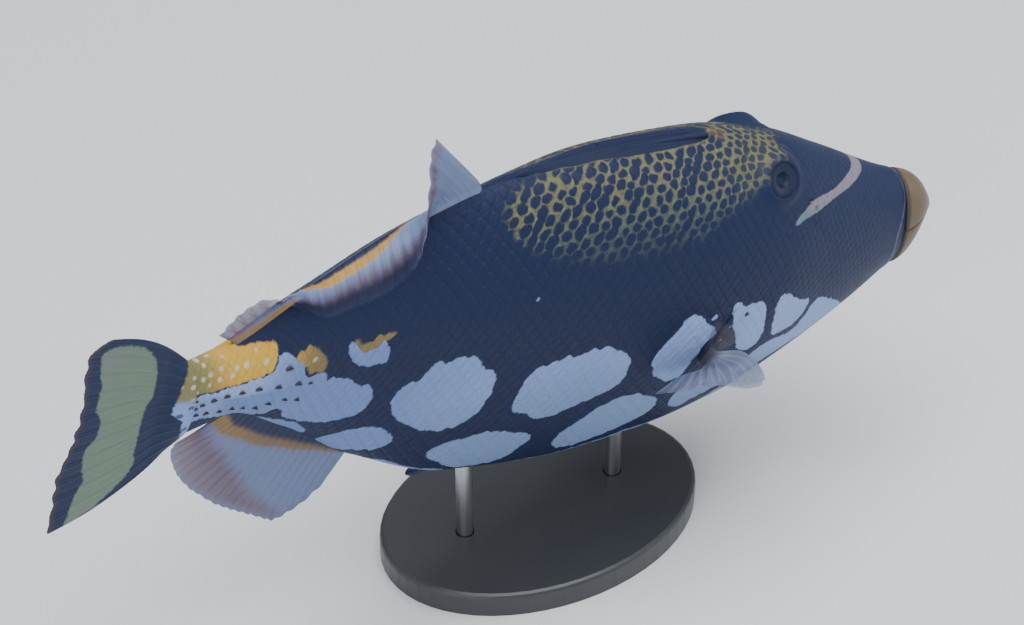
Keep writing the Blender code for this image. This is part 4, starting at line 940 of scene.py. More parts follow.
def scale_plates(name, side):
    """All scales of one side as one piece of closed plates."""
    u, v, x, girth = plate_sites(side)
    count = len(u)
    turn = circle(RIM_POINTS)
    square = 1 / (np.abs(np.cos(turn)) ** 5 + np.abs(np.sin(turn)) ** 5) ** 0.2
    head = ease(0.58, 0.76, x)
    size = 1 + RNG.uniform(-0.05, 0.03, count) * (1 - 0.75 * head)
    tall = (1 + RNG.uniform(-0.25, 0.25, count)) * ease(0.96, 0.7, x) * (1 - 0.72 * ease(0.55, 0.75, x))
    tilt = RNG.uniform(-0.08, 0.08, (count, 2))
    du, dv, level = [], [], []
    for reach, height in PLATE_RINGS:
        across = ((reach + (0.5 - reach) * 0.55 * head * (reach > 0.4)) * size)[:, None] * square
        du.append(across * np.cos(turn))
        dv.append(across * np.sin(turn))
        slope = (du[-1] * tilt[:, :1] + dv[-1] * tilt[:, 1:]) * (height > 0)
        level.append((height + slope) * (tall[:, None] if height > 0 else 1))
    middles = np.zeros((count, 2))
    du, dv = [np.concatenate([*rings, middles], 1) for rings in (du, dv)]
    level = np.concatenate([*level, middles[:, :1] - 1, tall[:, None]], 1)
    all_u, all_v = u[:, None] + du, v[:, None] + dv
    px, pg = from_lattice(all_u, all_v)
    share = np.clip(pg / half_girth(px), 0, 1)
    lift = np.where(level > 0, -SKIN_DEPTH + PLATE_RISE * level, -SKIN_DEPTH - 0.001)
    world = posed(over_skin(px, share, side * np.ones_like(px), lift))
    each = px.shape[1]
    fields = markings(px.ravel(), pg.ravel(), side * np.ones(px.size))
    middle = markings(x, girth, side * np.ones(count))
    for key in ("white_in", "yellow_in"):
        fields[key] = 0.75 * fields[key] + 0.25 * np.repeat(middle[key], each)
    one = turned_out(world[0], tube_faces(len(PLATE_RINGS), RIM_POINTS))
    faces = [tuple(n * each + i for i in face) for n in range(count) for face in one]
    piece = made(name, world.reshape(-1, 3), faces, SCALE, "skin", fields)
    spread_u = (0.03 + 0.94 * (x + 0.02) / 1.05)[:, None] + 0.003 * du
    spread_v = (0.03 + 0.94 * girth / 0.52)[:, None] + 0.003 * dv
    corners = np.zeros(len(piece.data.loops), np.int32)
    piece.data.loops.foreach_get("vertex_index", corners)
    by_corner = np.stack([spread_u.ravel(), spread_v.ravel()], -1)[corners]
    piece.data.uv_layers.new(name="OFBake").data.foreach_set("uv", by_corner.astype(np.float32).ravel())


# Looks of the other pieces
def fin_colours(m):
    """Colours of the pale fins: orange at the root, white membrane, red rays toward the edge."""
    phase, root_mm, edge_mm = m.parts(m.place("fin_place"))
    streak = m.noise(m.joined(phase * 3.2, root_mm * 0.1), 1, 3, 0.6)
    cloud = m.noise(m.joined(phase, root_mm * 0.4), 0.5)
    fine = m.noise(m.joined(phase * 16, root_mm * 0.5), 1, 2)
    loose = (cloud - 0.5) * 2.4
    ray, dull = m.field("ray"), m.field("dull")
    soft = dull * 0.8 + 0.6
    base = m.step(m.field("base_in") + loose * 0.5, soft * -1, soft)
    red = m.step(m.field("red_in") + (streak - 0.5) * 9, -2.6, 3.4) * m.step(edge_mm, 0.2, 3.4, 0.4, 1)
    colour = m.over(FIN_WHITE, (fine * ray, FIN_LILAC),
                    (red * (ray * 0.3 + 0.62), m.mix(streak, FIN_RED, FIN_ROSE)))
    colour = m.over(
        colour, (dull, m.mix(1, colour, (0.8, 0.78, 0.8), "MULTIPLY")),
        (base, m.over(FIN_ORANGE, (cloud, FIN_AMBER), (dull, FIN_DULL))),
        (m.step(loose * 0.3 + m.field("dark_in"), soft * -0.7, soft), BLACK_SKIN))
    sheer = m.step(edge_mm, 11, 3) * m.field("sheer")
    cover = (ray * 0.1 + 0.86) * (1 - sheer * 0.975) | m.step(root_mm, 7, 1)
    return {"Colour": colour, "Cover": base * 0.3 + cover & 1, "Height": fine * 0.6 + streak * 0.5}


def pale_fin_look(m):
    """Translucent pale fin."""
    looks = m.use(FIN_PATTERN)
    return {"Base Color": looks["Colour"], "Alpha": looks["Cover"], "Normal": (looks["Height"], 0.00006, 0.6)}


def clear_fin_look(m):
    """Glassy grey fan with whitish rays."""
    phase, root_mm, edge_mm = m.parts(m.place("fin_place"))
    ray = m.field("ray")
    streak = m.noise(m.joined(phase * 9, root_mm * 0.35), 1)
    colour = m.over((0.165, 0.2, 0.32), (ray, (0.225, 0.255, 0.37)),
                    (m.step(root_mm, 5, 1.5), AXIL_BROWN), (streak * 0.35, (0.15, 0.17, 0.25)))
    cover = (ray * 0.2 + 0.6 | m.step(root_mm, 8, 2, 0.6, 1)) * m.step(edge_mm, 0, 4, 0.62, 1)
    return {"Base Color": colour, "Alpha": cover, "Normal": (streak, 0.00005, 0.5)}


def tail_fin_look(m):
    """Black tail fin with a pale yellow-green panel and a pale blot at its root."""
    place = m.place("fin_place")
    phase, forward, level = m.parts(place)
    ray = m.field("ray")
    streak = m.noise(m.joined(phase * 5, forward * 0.16), 1, 4, 0.55)
    ragged = m.noise(place, 0.9, 2)
    wobble = (ragged - 0.5) * 1.4
    pink = m.step(m.way("DISTANCE", m.joined(forward, level), (-27.5, 24, 0)), 7, 1) * 0.55
    green = m.over(PANEL_GREEN, (m.noise(place, 0.16), PANEL_YELLOW), (pink, PANEL_PINK),
                   (m.step(level, -19, -25) * 0.5, PANEL_PINK),
                   (streak * (ray * 0.25 + 0.15), PANEL_LIGHT))
    dark = m.over(TAIL_BLACK, (streak * ray, (0.024, 0.034, 0.075)),
                  (m.step(m.field("edge_in"), 1.5, 0.1) * 0.6, (0.075, 0.05, 0.05)))
    beads = m.step(m.cells(place, 0.42, 0.8), 0.4, 0.28) * 0.75
    stalk = m.over(WHITE_SHADE, (ragged, WHITE_SKIN), (m.step(level + wobble, 2, 4.5), STALK_OLIVE),
                   (beads, m.mix(m.step(level, 2, 4.5), TAIL_BLACK, DOT_CREAM)))
    colour = m.over(dark, (m.step(m.field("panel_in") + wobble, -0.3, 0.45), green),
                    (m.step(m.field("blot_in") + wobble, -0.25, 0.35), WHITE_SHADE),
                    (m.step(m.field("root_in") + wobble, -0.3, 0.4), stalk))
    return {"Base Color": colour, "Roughness": streak * 0.16 + 0.4, "Normal": (streak, 0.00008, 0.6)}


def folded_look(m):
    """Dark pleated membrane and spines of the folded fin."""
    place = m.place("fin_place")
    cloud = m.grain(place, (0.25, 1.4, 1))
    fine = m.grain(place, (6, 1, 1), 2, 0.5)
    tip = m.step(cloud * 0.8 + m.parts(place)[0], 160.4, 161.4, 0, 0.8)
    spine = m.step(m.field("spine_rise"), -0.75, -0.3) * 0.2
    colour = m.over((0.015, 0.0215, 0.052), (cloud, (0.0175, 0.025, 0.06)),
                    (spine, (0.022, 0.029, 0.062)), (tip, NET_YELLOW))
    return {"Base Color": colour, "Normal": (cloud + fine * 0.4, 0.00012, 0.6)}


def lip_look(m):
    """Orange fleshy lips with fine folds, greyer at the mouth, with painted shade at their base."""
    place, out = m.place("lip_place"), m.field("lip_out")
    cloud = m.noise(place, 0.28)
    folds = m.grain(place, (0.4, 2.6, 2.6))
    mouth = m.step(m.field("mouth_near"), 1.6, 0.2) * m.step(out, 0.35, 0.8)
    low = m.mix(cloud, (0.105, 0.1, 0.08), (0.085, 0.09, 0.1))
    colour = m.over(LIP_ORANGE, (cloud, LIP_BROWN),
                    # painted shade: a dark ring at the lips' base, in the gap where they meet the skin
                    (m.step(out, 0.05, 0, 0, 0.6), (0.06, 0.048, 0.06)),
                    (m.field("lip_low"), low), (mouth * 0.8, (0.13, 0.12, 0.21)))
    return {"Base Color": colour, "Roughness": folds * 0.2 + 0.33,
            "Normal": (folds + m.cells(place, 2.2) * 0.35, 0.00016, 0.6)}


def tooth_look(m):
    """Ivory teeth, bluish at the root."""
    cloud = m.noise(m.spot(), 900)
    return {"Base Color": m.mix(cloud, (0.46, 0.44, 0.52), (0.34, 0.32, 0.42)),
            "Normal": (cloud, 0.00005, 0.4)}


def eyeball_look(m):
    """Very dark eye: fine-rayed iris with a thin warm ring about a black pupil."""
    ex, ey, front = m.parts(m.place("eye_place"))
    reach = m.sum("SQRT", ex * ex + ey * ey)
    spokes = m.noise(m.joined(m.sum("ARCTAN2", ey, ex) * 9, reach * 0.7), 1, 4, 0.65)
    clouds = m.noise(m.joined(ex, ey), 0.8)
    ring = m.step(reach, 2.3, 2.55) * m.step(reach, 3.05, 2.7)
    colour = m.over((0.0105, 0.0165, 0.043), (spokes, (0.019, 0.026, 0.06)),
                    (clouds * 0.5, (0.016, 0.023, 0.056)), (ring * 0.5, (0.04, 0.032, 0.048)),
                    (m.step(reach, 2.5, 2.36), (0.0095, 0.015, 0.041)),
                    (m.step(reach, 5.1, 5.5) | 1 - front, BLACK_SKIN))
    return {"Base Color": colour, "Normal": (spokes, 0.00008, 0.7)}


def cornea_look(m):
    """Clear cornea."""
    return {"Transmission Weight": 1, "IOR": 1.03, "Base Color": (0.96, 0.97, 1)}


def thorn_look(m):
    """Horny thorns, brown at the root and black at the tip."""
    cloud = m.noise(m.spot(), 1200)
    share = m.step(cloud * 0.3 + m.field("thorn_rise"), 0.45, 0.85)
    return {"Base Color": m.mix(share, (0.06, 0.042, 0.045), (0.01, 0.013, 0.028)),
            "Normal": (cloud, 0.00006, 0.6)}


def knob_look(m):
    """Rough dark skin of the pelvic knob, paler on its knobs."""
    place = m.place("fin_place")
    bits = m.cells(place, 1.6)
    return {"Base Color": m.mix(m.step(bits, 0.5, 0.2), BLACK_SKIN, (0.09, 0.095, 0.13)),
            "Normal": (bits + m.noise(place, 0.7), 0.00025, 0.7)}


def steel_look(m):
    """Steel rods with fine lengthwise brushing."""
    spot = m.spot()
    lines = m.grain(spot, (5200, 5200, 90))
    return {"Base Color": m.mix(m.noise(spot, 60), (0.52, 0.53, 0.55), (0.6, 0.61, 0.63)),
            "Roughness": lines * 0.22 + 0.2, "Normal": (lines, 0.00003, 0.5)}


def paint_look(m):
    """Dark satin paint with a faint orange-peel surface and clouding."""
    spot = m.spot()
    cloud = m.noise(spot, 35, 4)
    return {"Base Color": m.mix(cloud, (0.026, 0.028, 0.032), (0.036, 0.038, 0.043)),
            "Roughness": cloud * 0.12 + 0.36, "Normal": (m.noise(spot, 900, 2, 0.4), 0.00006, 0.35)}


def floor_look(m):
    """Plain pale floor."""
    return {"Base Color": m.mix(m.noise(m.spot(), 9, 4), (0.7, 0.71, 0.73), (0.74, 0.75, 0.77))}


FIN_PATTERN = group("pale fin colours", fin_colours)
PALE_FIN = material("pale fin", pale_fin_look, 0.45, 0.05, 0.2, 0.25)
CLEAR_FIN = material("clear fin", clear_fin_look, 0.42, 0.05, 0.18, 0.25)
TAIL_FIN = material("tail fin", tail_fin_look, 0.5, 0.03, 0.25, 0.16)
FOLDED = material("folded membrane", folded_look, 0.52, 0.02, 0.25, 0.13)
LIPS = material("lip flesh", lip_look, 0.45, 0.06, 0.2, 0.28)
TOOTH = material("tooth", tooth_look, 0.25, 0.3, 0.08)
EYEBALL = material("eye", eyeball_look, 0.4, 0, 0.1, 0.2)
CORNEA = material("cornea", cornea_look, 0.1, 0, 0.03, 0.15)
THORN = material("thorn horn", thorn_look, 0.42, 0.03, 0.15, 0.3)
KNOB = material("rough knob", knob_look, 0.55, 0.05, 0.3, 0.4)
STEEL = material("brushed steel", steel_look, 0.3, metallic=1)
PAINT = material("satin paint", paint_look, 0.42, 0.25, 0.3, 0.45)
FLOOR = material("pale floor", floor_look, 0.75)


# Fins: rays and membrane in one closed sheet
def across_of(grid):
    """Ways of length 1 across a grid of points."""
    return unit(np.cross(np.gradient(grid, axis=1), np.gradient(grid, axis=0)))


def sheet(name, grid, half, look, slot, fields, *replaced):
    """Closed thin body about a grid of straight-fish points, with its half-thickness in metres."""
    points = posed(grid)
    rows, columns = points.shape[:2]
    thick = across_of(points) * half[..., None]
    both = rows * columns
    faces = grid_faces(rows, columns, False)
    faces += [tuple(both + i for i in face[::-1]) for face in faces]
    rim = [*range(columns), *range(2 * columns - 1, both, columns), *range(both - 2, both - columns - 1, -1),
           *range(both - 2 * columns, 0, -columns)]
    faces += [(b, a, both + a, both + b) for a, b in zip(rim, rim[1:] + rim[:1])]
    points = np.concatenate([(points + thick).reshape(-1, 3), (points - thick).reshape(-1, 3)])
    doubled = {key: np.concatenate([values.reshape(both, -1)] * 2).squeeze()
               for key, values in fields.items()}
    made(name, points, turned_out(points, faces), look, slot, doubled, *replaced)


def ray_ridges(phase, out, fork, second_fork, slim):
    """Height from 0 to 1 of rays that fork twice toward the fin's edge."""
    nearest = phase - np.round(phase)
    one, two = 0.22 * ease(fork, fork + 0.55, out), 0.1 * ease(second_fork, 1.05, out)
    wide = slim * (1 - 0.45 * ease(fork, 1, out))
    return np.max([hump(nearest - turn - a * one - b * two, wide)
                   for a in (-1, 1) for b in (-1, 1) for turn in (-1, 0, 1)], 0)


def wave(phase):
    """Wave of one crest to a ray."""
    return np.cos(2 * math.pi * phase)


def ends_kept(u, reach):
    """1 between a fin's front and rear ends, falling to 0 at both."""
    return ease(0, reach, u) * ease(1, 1 - reach, u)


def median_fin(name, node, fin, line, outward, swell):
    """Soft-rayed fin along the back or the belly."""
    u = np.linspace(0, 1, (fin["rays"] - 1) * MEDIAN_STEPS + 1)
    reach, lean, sweep = [along(fin[key], u) for key in ("length", "lean", "sweep")]
    early = ease(60, 100, np.abs(lean))
    x = fin["front"] + (fin["rear"] - fin["front"]) * u
    place = xyz(x, 0, along(line, x))
    grid = [place - [0, 0, outward * ROOT_DEPTH], place]
    shares = np.linspace(0, 1, MEDIAN_ROWS) ** 0.9
    for low, high in zip(shares, shares[1:]):
        for k in range(4):
            part = low + (high - low) * (k + 0.5) / 4
            tilt = np.radians(lean) * ease(-0.4 * early, 0.42 - 0.12 * early, part)
            turn = np.radians(sweep) * ease(-0.15, 0.2, part)
            move = xyz(-np.sin(turn), -np.sin(tilt) * np.cos(turn), outward * np.cos(tilt) * np.cos(turn))
            place = place + move * (reach * (high - low) / 4)[:, None]
        grid.append(place)
    grid = np.array(grid)
    out, u = np.broadcast_arrays(np.append([0, 0], shares[1:])[:, None], u)
    phase = u * (fin["rays"] - 1)
    ridge = ray_ridges(phase, out, 0.38, 0.72, 0.12)
    ripple = np.sin(u * 31 + 2 * np.sin(u * 9)) * ease(0.25, 1, out) * ease(0.1, 0.3, u)
    sag = wave(phase) * 0.0007 * ease(0, 0.5, out)
    grid = grid + across_of(grid) * (sag + 0.002 * swell * ripple)[..., None]
    inward = grid[-2] - grid[-1]
    trim = (0.5 - 0.5 * wave(phase[-1])) * 0.0008 / np.maximum(np.linalg.norm(inward, axis=-1), 1e-6)
    grid[-1] += inward * np.clip(trim, 0, 0.9)[:, None]
    root_mm, edge_mm = out * reach * MM, (1 - out) * reach * MM
    joints = 0.9 + 0.1 * wave(root_mm / 1.1)
    half = 0.00013 + 0.00085 * (1 - out) ** 4
    half = half + 0.00026 * ridge * joints * (1 - 0.55 * out) * ease(0, 0.06, out)
    half = half * (1 - 0.35 * ease(0.95, 1, out)) * (0.45 + 0.55 * ends_kept(u, 0.012))
    dark, base, red, sheer, dull = [along(fin[key], u) for key in ("dark", "base", "red", "sheer", "dull")]
    fields = {"fin_place": xyz(phase, root_mm, edge_mm), "ray": ridge, "dark_in": dark - root_mm,
              "base_in": base - root_mm, "red_in": red - edge_mm, "sheer": sheer, "dull": dull}
    sheet(name, grid, half, PALE_FIN, "pale_fin", fields, node)


def tail_fin():
    """Fan of the tail with forked rays."""
    columns = (CAUDAL_RAYS - 1) * TAIL_STEPS + 1
    out, u = np.meshgrid(np.linspace(0, 1, TAIL_ROWS), np.linspace(0, 1, columns), indexing="ij")
    top, low, wide = [float(along(line, 0)) for line in (BACK_LINE, BELLY_LINE, HALF_WIDTH)]
    across = 2 * u - 1
    phase = u * (CAUDAL_RAYS - 1)
    root_x, root_z = -0.0012, top + (low - top) * u
    tip_x = along(CAUDAL_EDGE_X, u) + 0.6 * CAUDAL_SCALLOP * (0.5 - 0.5 * wave(phase))
    tip_x = tip_x + 0.0012 * np.sin(u * 23 + 1) + 0.0007 * np.sin(u * 51)
    x = root_x + (tip_x - root_x) * out
    y = CAUDAL_FLEX * out * out + 0.0005 * wave(phase) * ease(0.2, 0.7, out)
    y = y + 0.0022 * np.sin(u * 9 + 0.6) * ease(0.3, 1, out)
    z = root_z + (along(CAUDAL_EDGE_Z, u) - root_z) * out - CAUDAL_BOW * np.sin(math.pi * out) * across
    ridge = ray_ridges(phase, out, 0.16, 0.52, 0.105)
    joints = 0.9 + 0.1 * wave(out * 36 / 1.2)
    oval = np.maximum(np.sqrt(np.maximum(1 - across ** 2, 0)), 0.09)
    half = 0.00018 + 0.00045 * (1 - out) ** 2 + 0.0003 * ridge * joints * (1 - 0.5 * out)
    blend = ease(0, 0.26, out)
    half = (wide * BODY_LENGTH * oval * (1 - blend) + half * blend) * (1 - 0.3 * ease(0.97, 1, out))
    fields = {
        "fin_place": xyz(phase, x * MM, z * MM), "ray": ridge,
        "panel_in": inside_by(TAIL_PANEL, x, z), "edge_in": (1 - out) * 34,
        "blot_in": within_dots([(-0.002, -0.031, 0.0085)], x, z),
        "root_in": (x - np.interp(z, *TAIL_ROOT.T)) * MM,
    }
    sheet("tail_fin", xyz(x, y, z), half, TAIL_FIN, "tail_fin", fields, "caudal_fin")


def pectoral_fin(name, node, side):
    """Spread fan of one pectoral fin."""
    u = np.linspace(0, 1, (PECTORAL_RAYS - 1) * FAN_STEPS + 1)
    base = zip(PECTORAL_PLACE[0] - 0.004 * u, PECTORAL_PLACE[1] + PECTORAL_BASE * (0.5 - u))
    spots = [bare_skin(x, level_share(x, z), side) for x, z in base]
    root, normal = [np.array(ways) for ways in zip(*spots)]
    lift, length = np.radians(along(PECTORAL_LIFT, u)), along(PECTORAL_LENGTH, u)
    scallop = 0.0022 * (0.5 - 0.5 * wave(u * (PECTORAL_RAYS - 1)))
    shares = np.linspace(0, 1, FAN_ROWS)
    grid = [root - normal * ROOT_DEPTH]
    for share in shares:
        blend = ease(-0.1, 0.5, share)
        turn = np.radians(along(PECTORAL_TURN, u) + along(PECTORAL_BOW, u) * (1 - share))
        away = xyz(-np.sin(turn) * np.cos(lift), side * np.cos(turn) * np.cos(lift), np.sin(lift))
        reach = (length * share - scallop * ease(0.8, 1, share))[:, None]
        grid.append(root + (normal * (1 - blend) + away * blend) * reach)
    grid = np.array(grid)
    out, u = np.broadcast_arrays(np.append(0, shares)[:, None], u)
    phase = u * (PECTORAL_RAYS - 1)
    grid = grid + across_of(grid) * (0.0008 * wave(phase) * ease(0.1, 0.7, out))[..., None]
    ridge = ray_ridges(phase, out, 0.34, 0.66, 0.115)
    half = 0.00011 + 0.00075 * (1 - out) ** 4 + 0.00015 * ridge * (1 - 0.5 * out) * ease(0, 0.1, out)
    half = half * (0.5 + 0.5 * ends_kept(u, 0.02))
    fields = {"fin_place": xyz(phase, out * length * MM, (1 - out) * length * MM), "ray": ridge}
    sheet(name, grid, half, CLEAR_FIN, "clear_fin", fields, node)


def folded_dorsal():
    """Folded first dorsal fin: pleated membrane low in the groove under three laid-back spines."""
    x, s = np.meshgrid(np.linspace(GROOVE_FRONT - 0.006, GROOVE_REAR + 0.005, 300), np.linspace(-1, 1, 61),
                       indexing="ij")
    y = s * np.maximum(groove_half(x) * 0.9, 0.0016)
    level = -0.003 - 0.003 * s ** 2 + 0.0006 * np.cos(s * 15 + 4 * np.sin(x * 30)) * (1 - s ** 2)
    for k in range(3):
        length, thick = 0.128 - 0.024 * k, 0.0048 - 0.0009 * k
        behind = GROOVE_FRONT - 0.009 - 0.034 * k - x
        radius = thick * (1 - 0.84 * np.clip(behind / length, 0, 1)) * np.sqrt(np.clip(behind / 0.004, 0, 1))
        radius = radius * (behind < length)
        barbs = 1 + 0.05 * np.cos(x * 1400) * (k == 0)
        top = -0.0036 + np.sqrt(np.maximum(radius ** 2 - y ** 2, 0)) * 1.15 * barbs
        level = np.where(radius > np.abs(y), np.maximum(level, top), level)
    low = -GROOVE_DEPTH * 0.95 * (groove_half(x) / GROOVE_HALF_WIDTH) ** 0.6 - 0.001
    low = np.minimum(low * (1 - 0.65 * s ** 2), level - 0.0014)
    back = along(BACK_LINE, x)
    rings = np.concatenate([xyz(x, y, back + level), xyz(x, y, back + low)[:, ::-1]], 1)
    spine = np.concatenate([level, 0 * low - 0.01], 1)
    tubes("folded_dorsal", [rings], FOLDED, "skin", {"fin_place": [rings * MM], "spine_rise": [spine * MM]},
          "first_dorsal_fin")


# Mouth; LIP_ARC is the number of points over a lip before they are spread evenly
LIP_RINGS, LIP_SIDES, LIP_ARC, LIP_GAP = 46, 150, 140, 0.0006


def lip_piece(name, node, way):
    """One rounded lip about half of the snout's tip, way +1 for the upper and -1 for the lower."""
    start = HEAD_FRONT + 0.0008
    line = BACK_LINE if way > 0 else BELLY_LINE
    angle = np.linspace(0, math.pi, LIP_ARC)
    shares = 1 - (1 - np.linspace(0, 1, LIP_RINGS)) ** 1.35
    loops, near = [], []
    for share in shares:
        level = MOUTH_LEVEL + MOUTH_RISE * math.sin(0.5 * math.pi * share) + LIP_GAP * way
        station = start + (SNOUT_TIP - 0.0008 - start) * share
        bulge = 0.0035 * math.sin(math.pi * min(share * 1.15 + 0.1, 1))
        x = np.full(LIP_ARC, station)
        for _ in range(4):
            z = level + np.sin(angle) ** 0.9 * (along(line, x) + bulge * way - level)
            x = station - SNOUT_SLANT * (1 - share) * (z - MOUTH_LEVEL)
        fold = 0.00035 * np.cos(angle * 46) * ease(0.1, 0.5, share) * ease(1, 0.7, share)
        y = (along(HALF_WIDTH, x) + bulge + fold) * np.cos(angle)
        outer = xyz(x, y, z + fold * np.sin(angle))
        back = outer[-1] + (outer[0] - outer[-1]) * np.linspace(0, 1, 60)[1:, None]
        closed = np.concatenate([outer, back])
        gone = np.append(0, np.cumsum(np.linalg.norm(np.diff(closed, axis=0), axis=1)))
        at = np.linspace(0, gone[-1], LIP_SIDES, endpoint=False)
        soft = xyz(*[np.interp(at, gone, part) for part in closed.T])
        for _ in range(int(5 + 4 * (1 - share))):
            soft = 0.25 * np.roll(soft, 1, 0) + 0.5 * soft + 0.25 * np.roll(soft, -1, 0)
        loops.append(soft)
        near.append(np.abs(soft[:, 2] - level) * MM)
    rings = np.array(loops)
    out = np.repeat(shares[:, None], LIP_SIDES, 1)
    fields = {"lip_place": [rings * MM], "lip_out": [out], "mouth_near": [np.array(near)],
              "lip_low": [0.75 * ease(0.03, -0.005, rings[..., 2]) * ease(0.25, 0.9, out)]}
    tubes(name, [rings], LIPS, "lips", fields, node)


def teeth():
    """Short chisel teeth that just show between the lips."""
    bodies = []
    turn = circle(16)
    for way, height in ((1, 0.0021), (-1, 0.0019)):
        for middle in 0.0052 * np.array([-1.5, -0.5, 0.5, 1.5]):
            t = np.linspace(0, 1, 9)[:, None]
            wide, deep = 0.0027 * (1 - 0.35 * t ** 3), 0.002 * (1 - 0.55 * t ** 2)
            x = 0.9985 - 7 * middle ** 2 + 0.003 * t + deep * np.cos(turn)
            z = MOUTH_LEVEL + 0.9 * MOUTH_RISE + 0.0035 * way - height * way * 2 * t
            bodies.append(xyz(x, middle + wide * np.sin(turn), z))
    tubes("teeth", bodies, TOOTH, "lips", {})


# Eyes
def eye_rings(side, profile):
    """Straight-fish rings about the eye's aim from pairs of reach and height."""
    first, second, aim = eye_axes(side)
    turn = circle(EYE_SIDES)[:, None]
    spoke = first * np.cos(turn) + second * np.sin(turn)
    return np.array([mirrored(EYE_SPOT, side) + spoke * reach + aim * height for reach, height in profile])


def eyeball(name, node, side):
    """Eyeball with a sunken iris and a dark pupil hollow."""
    limit = math.asin(IRIS_REACH / EYE_RADIUS)
    rim = EYE_RADIUS * EYE_FLAT * math.cos(limit)
    profile = [(EYE_RADIUS * math.sin(polar), EYE_RADIUS * EYE_FLAT * math.cos(polar))
               for polar in np.linspace(math.pi - 0.05, limit, 34)]
    profile += [(IRIS_REACH + (PUPIL_REACH - IRIS_REACH) * t,
                 rim - 0.0006 - 0.0008 * t + 0.0008 * math.sin(math.pi * t))
                for t in np.linspace(0, 1, 26)[1:]]
    profile += [(PUPIL_REACH * (1 - 0.985 * t), rim - 0.0014 - 0.004 * ease(0, 0.5, t))
                for t in np.linspace(0, 1, 10)[1:]]
    reach, height = np.array(profile).T[..., None]
    turn = circle(EYE_SIDES)
    spot = xyz(reach * np.cos(turn) * MM, reach * np.sin(turn) * MM, height > 0.012)
    tubes(name, [eye_rings(side, profile)], EYEBALL, "eye", {"eye_place": [spot]}, node)


def cornea(name, side):
    """Clear dome over the iris, a thin closed shell."""
    limit = math.asin((IRIS_REACH + 0.0004) / EYE_RADIUS)
    outer = [(EYE_RADIUS * 1.004 * math.sin(p), EYE_RADIUS * EYE_FLAT * 1.01 * math.cos(p)
              + 0.001 * (1 - (p / limit) ** 2)) for p in np.linspace(limit, 0.02, DOME_RINGS)]
    inner = [(reach * 0.985, height - 0.0008) for reach, height in reversed(outer)]
    rings = posed(eye_rings(side, outer + inner))
    points = np.concatenate([rings.reshape(-1, 3), rings[DOME_RINGS - 1:DOME_RINGS + 1].mean(1)])
    faces = grid_faces(2 * DOME_RINGS, EYE_SIDES, True)
    under, end = DOME_RINGS * EYE_SIDES, 2 * DOME_RINGS * EYE_SIDES
    top, last = under - EYE_SIDES, end - EYE_SIDES
    del faces[top:under]
    for j in range(EYE_SIDES):
        k = (j + 1) % EYE_SIDES
        faces += [(top + j, top + k, end), (under + k, under + j, end + 1), (last + j, last + k, k, j)]
    made(name, points, turned_out(points, faces), CORNEA, "eye", {})


# Small armour
THORN_RINGS, THORN_SIDES = 11, 12


def thorn_rings(x, girth, side, size):
    """Rings of one thorn that curves forward off the stalk."""
    root, normal = bare_skin(x, girth / float(half_girth(x)), side)
    forward = unit(np.array([1, 0, 0]) - normal * normal[0])
    up = np.cross(normal, forward) * (1 if side < 0 else -1)
    turn = circle(THORN_SIDES)[:, None]
    spoke = forward * np.cos(turn) * 1.2 + up * np.sin(turn) * 1.05
    rings = []
    for t in np.linspace(0, 1, THORN_RINGS):
        radius = 0.003 * size * (1 - t) ** 0.6 * (1 + 0.2 * hump(t, 0.18)) + 0.00012
        middle = root + normal * (-0.002 + 0.005 * size * t) + forward * 0.0034 * size * t ** 1.6
        rings.append(middle + up * 0.0018 * size * t ** 1.5 + spoke * radius)
    return np.array(rings)


def thorns():
    """Rows of small thorns on both sides of the tail stalk."""
    bodies = []
    for side in (1, -1):
        for x, girth, size in THORNS:
            jog = RNG.uniform(-0.0008, 0.0008, 2) * (side > 0)
            bodies.append(thorn_rings(x + jog[0], girth + jog[1], side, size))
    rise = np.repeat(np.linspace(0, 1, THORN_RINGS), THORN_SIDES)
    tubes("stalk_thorns", bodies, THORN, "skin", {"thorn_rise": [rise] * len(bodies)})


def pelvic_knob():
    """Rough blunt end of the pelvic bone with rows of small knobs."""
    root, tip = [np.array([x, 0, float(along(BELLY_LINE, x)) + lift])
                 for x, lift in ((PELVIC_X + 0.012, 0.01), (PELVIC_X - 0.02, -0.01))]
    turn = circle(56)
    rings = []
    for t in np.linspace(0, 1, 60):
        knobs = 0.0008 * np.maximum(np.cos(turn * 7 + 3 * math.pi * np.floor(t * 9)), 0)
        knobs = knobs * max(math.sin(t * 9 * math.pi) ** 2 - 0.1, 0) * ease(1, 0.8, t)
        radius = along(KNOB_RADIUS, t) + knobs
        rise = radius * np.sin(turn)
        rings.append(root + (tip - root) * t + xyz(rise * 0.5, radius * np.cos(turn), rise * 0.8))
    rings = np.array(rings)
    tubes("pelvic_knob", [rings], KNOB, "skin", {"fin_place": [rings * MM]}, "pelvic_spine")


skin_piece()
scale_plates("scales_left", 1)
scale_plates("scales_right", -1)
median_fin("soft_dorsal_fin", "second_dorsal_fin", DORSAL, BACK_LINE, 1, 1)
median_fin("anal_fin_skin", "anal_fin", ANAL, BELLY_LINE, -1, 0.6)
tail_fin()
pectoral_fin("pectoral_fan_left", "pectoral_fin_left", 1)
pectoral_fin("pectoral_fan_right", "pectoral_fin_right", -1)
folded_dorsal()
lip_piece("lip_upper", "upper_lip", 1)
lip_piece("lip_lower", "lower_lip", -1)
teeth()
eyeball("eyeball_left", "eye_left", 1)
eyeball("eyeball_right", "eye_right", -1)
cornea("cornea_left", 1)
cornea("cornea_right", -1)
thorns()
pelvic_knob()

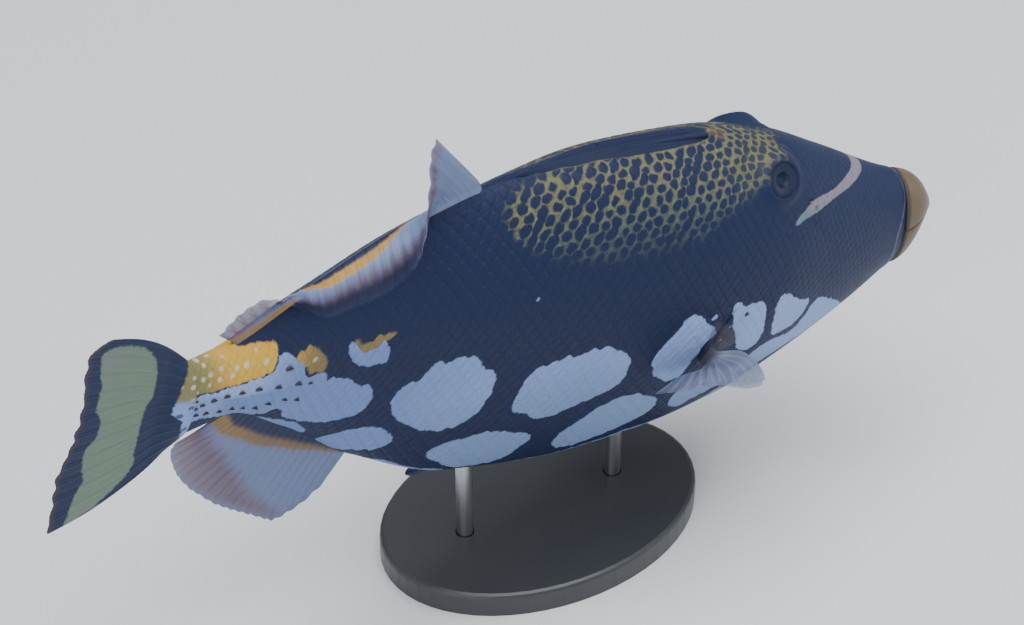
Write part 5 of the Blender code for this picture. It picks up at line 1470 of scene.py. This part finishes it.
# Paint and steel on the kept nodes of the stand
for name, look in (("stand_rod_front", STEEL), ("stand_rod_rear", STEEL), ("stand_base", PAINT)):
    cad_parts[name].data.materials.clear()
    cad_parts[name].data.materials.append(look)

# Floor, light and camera
bpy.ops.mesh.primitive_plane_add(size=14, location=(0, 0, 0))
floor = bpy.context.object
floor.name = "pale_floor"
floor.data.materials.append(FLOOR)


def soft_light(name, place, level, size, power, colour=(1, 1, 1)):
    """Large soft lamp aimed at a level over the floor's middle."""
    lamp = bpy.data.lights.new(name, "AREA")
    lamp.shape, lamp.size, lamp.energy, lamp.color = "SQUARE", size, power, colour
    made_lamp = bpy.data.objects.new(name, lamp)
    made_lamp.location = place
    made_lamp.rotation_mode = "QUATERNION"
    made_lamp.rotation_quaternion = (Vector((0, 0, level)) - Vector(place)).to_track_quat("-Z", "Y")
    bpy.context.scene.collection.objects.link(made_lamp)


# The camera's focal length in pixels of a photograph of this width
FOCAL_PIXELS, PHOTO_WIDTH = 2600, 1024


def camera():
    """Camera where the photographer's stood."""
    lens = bpy.data.cameras.new("camera")
    lens.sensor_width = 36
    lens.lens = FOCAL_PIXELS * lens.sensor_width / PHOTO_WIDTH
    lens.clip_start, lens.clip_end = 0.05, 50
    made_camera = bpy.data.objects.new("camera", lens)
    right, up, back = (0.86807, -0.49644, 0), (0.31911, 0.55799, 0.76604), (-0.38029, -0.66498, 0.64279)
    turn = Matrix((right, up, back)).transposed().to_4x4()
    place = FISH_PLACE + np.array([-0.2852, -0.4722, 0.45168])
    made_camera.matrix_world = Matrix.Translation(Vector(place)) @ turn
    bpy.context.scene.collection.objects.link(made_camera)
    bpy.context.scene.camera = made_camera


soft_light("overhead", (0.05, -0.1, 1.3), 0.05, 1.2, 24)
soft_light("side", (-1.1, -0.9, 0.55), 0.07, 1, 9, (0.94, 0.97, 1))
soft_light("front", (1.3, -0.6, 0.6), 0.07, 0.9, 6)
world = bpy.data.worlds.new("studio air")
world.use_nodes = True
world.node_tree.nodes["Background"].inputs["Color"].default_value = (0.8, 0.86, 0.95, 1)
world.node_tree.nodes["Background"].inputs["Strength"].default_value = 0.42
bpy.context.scene.world = world
camera()
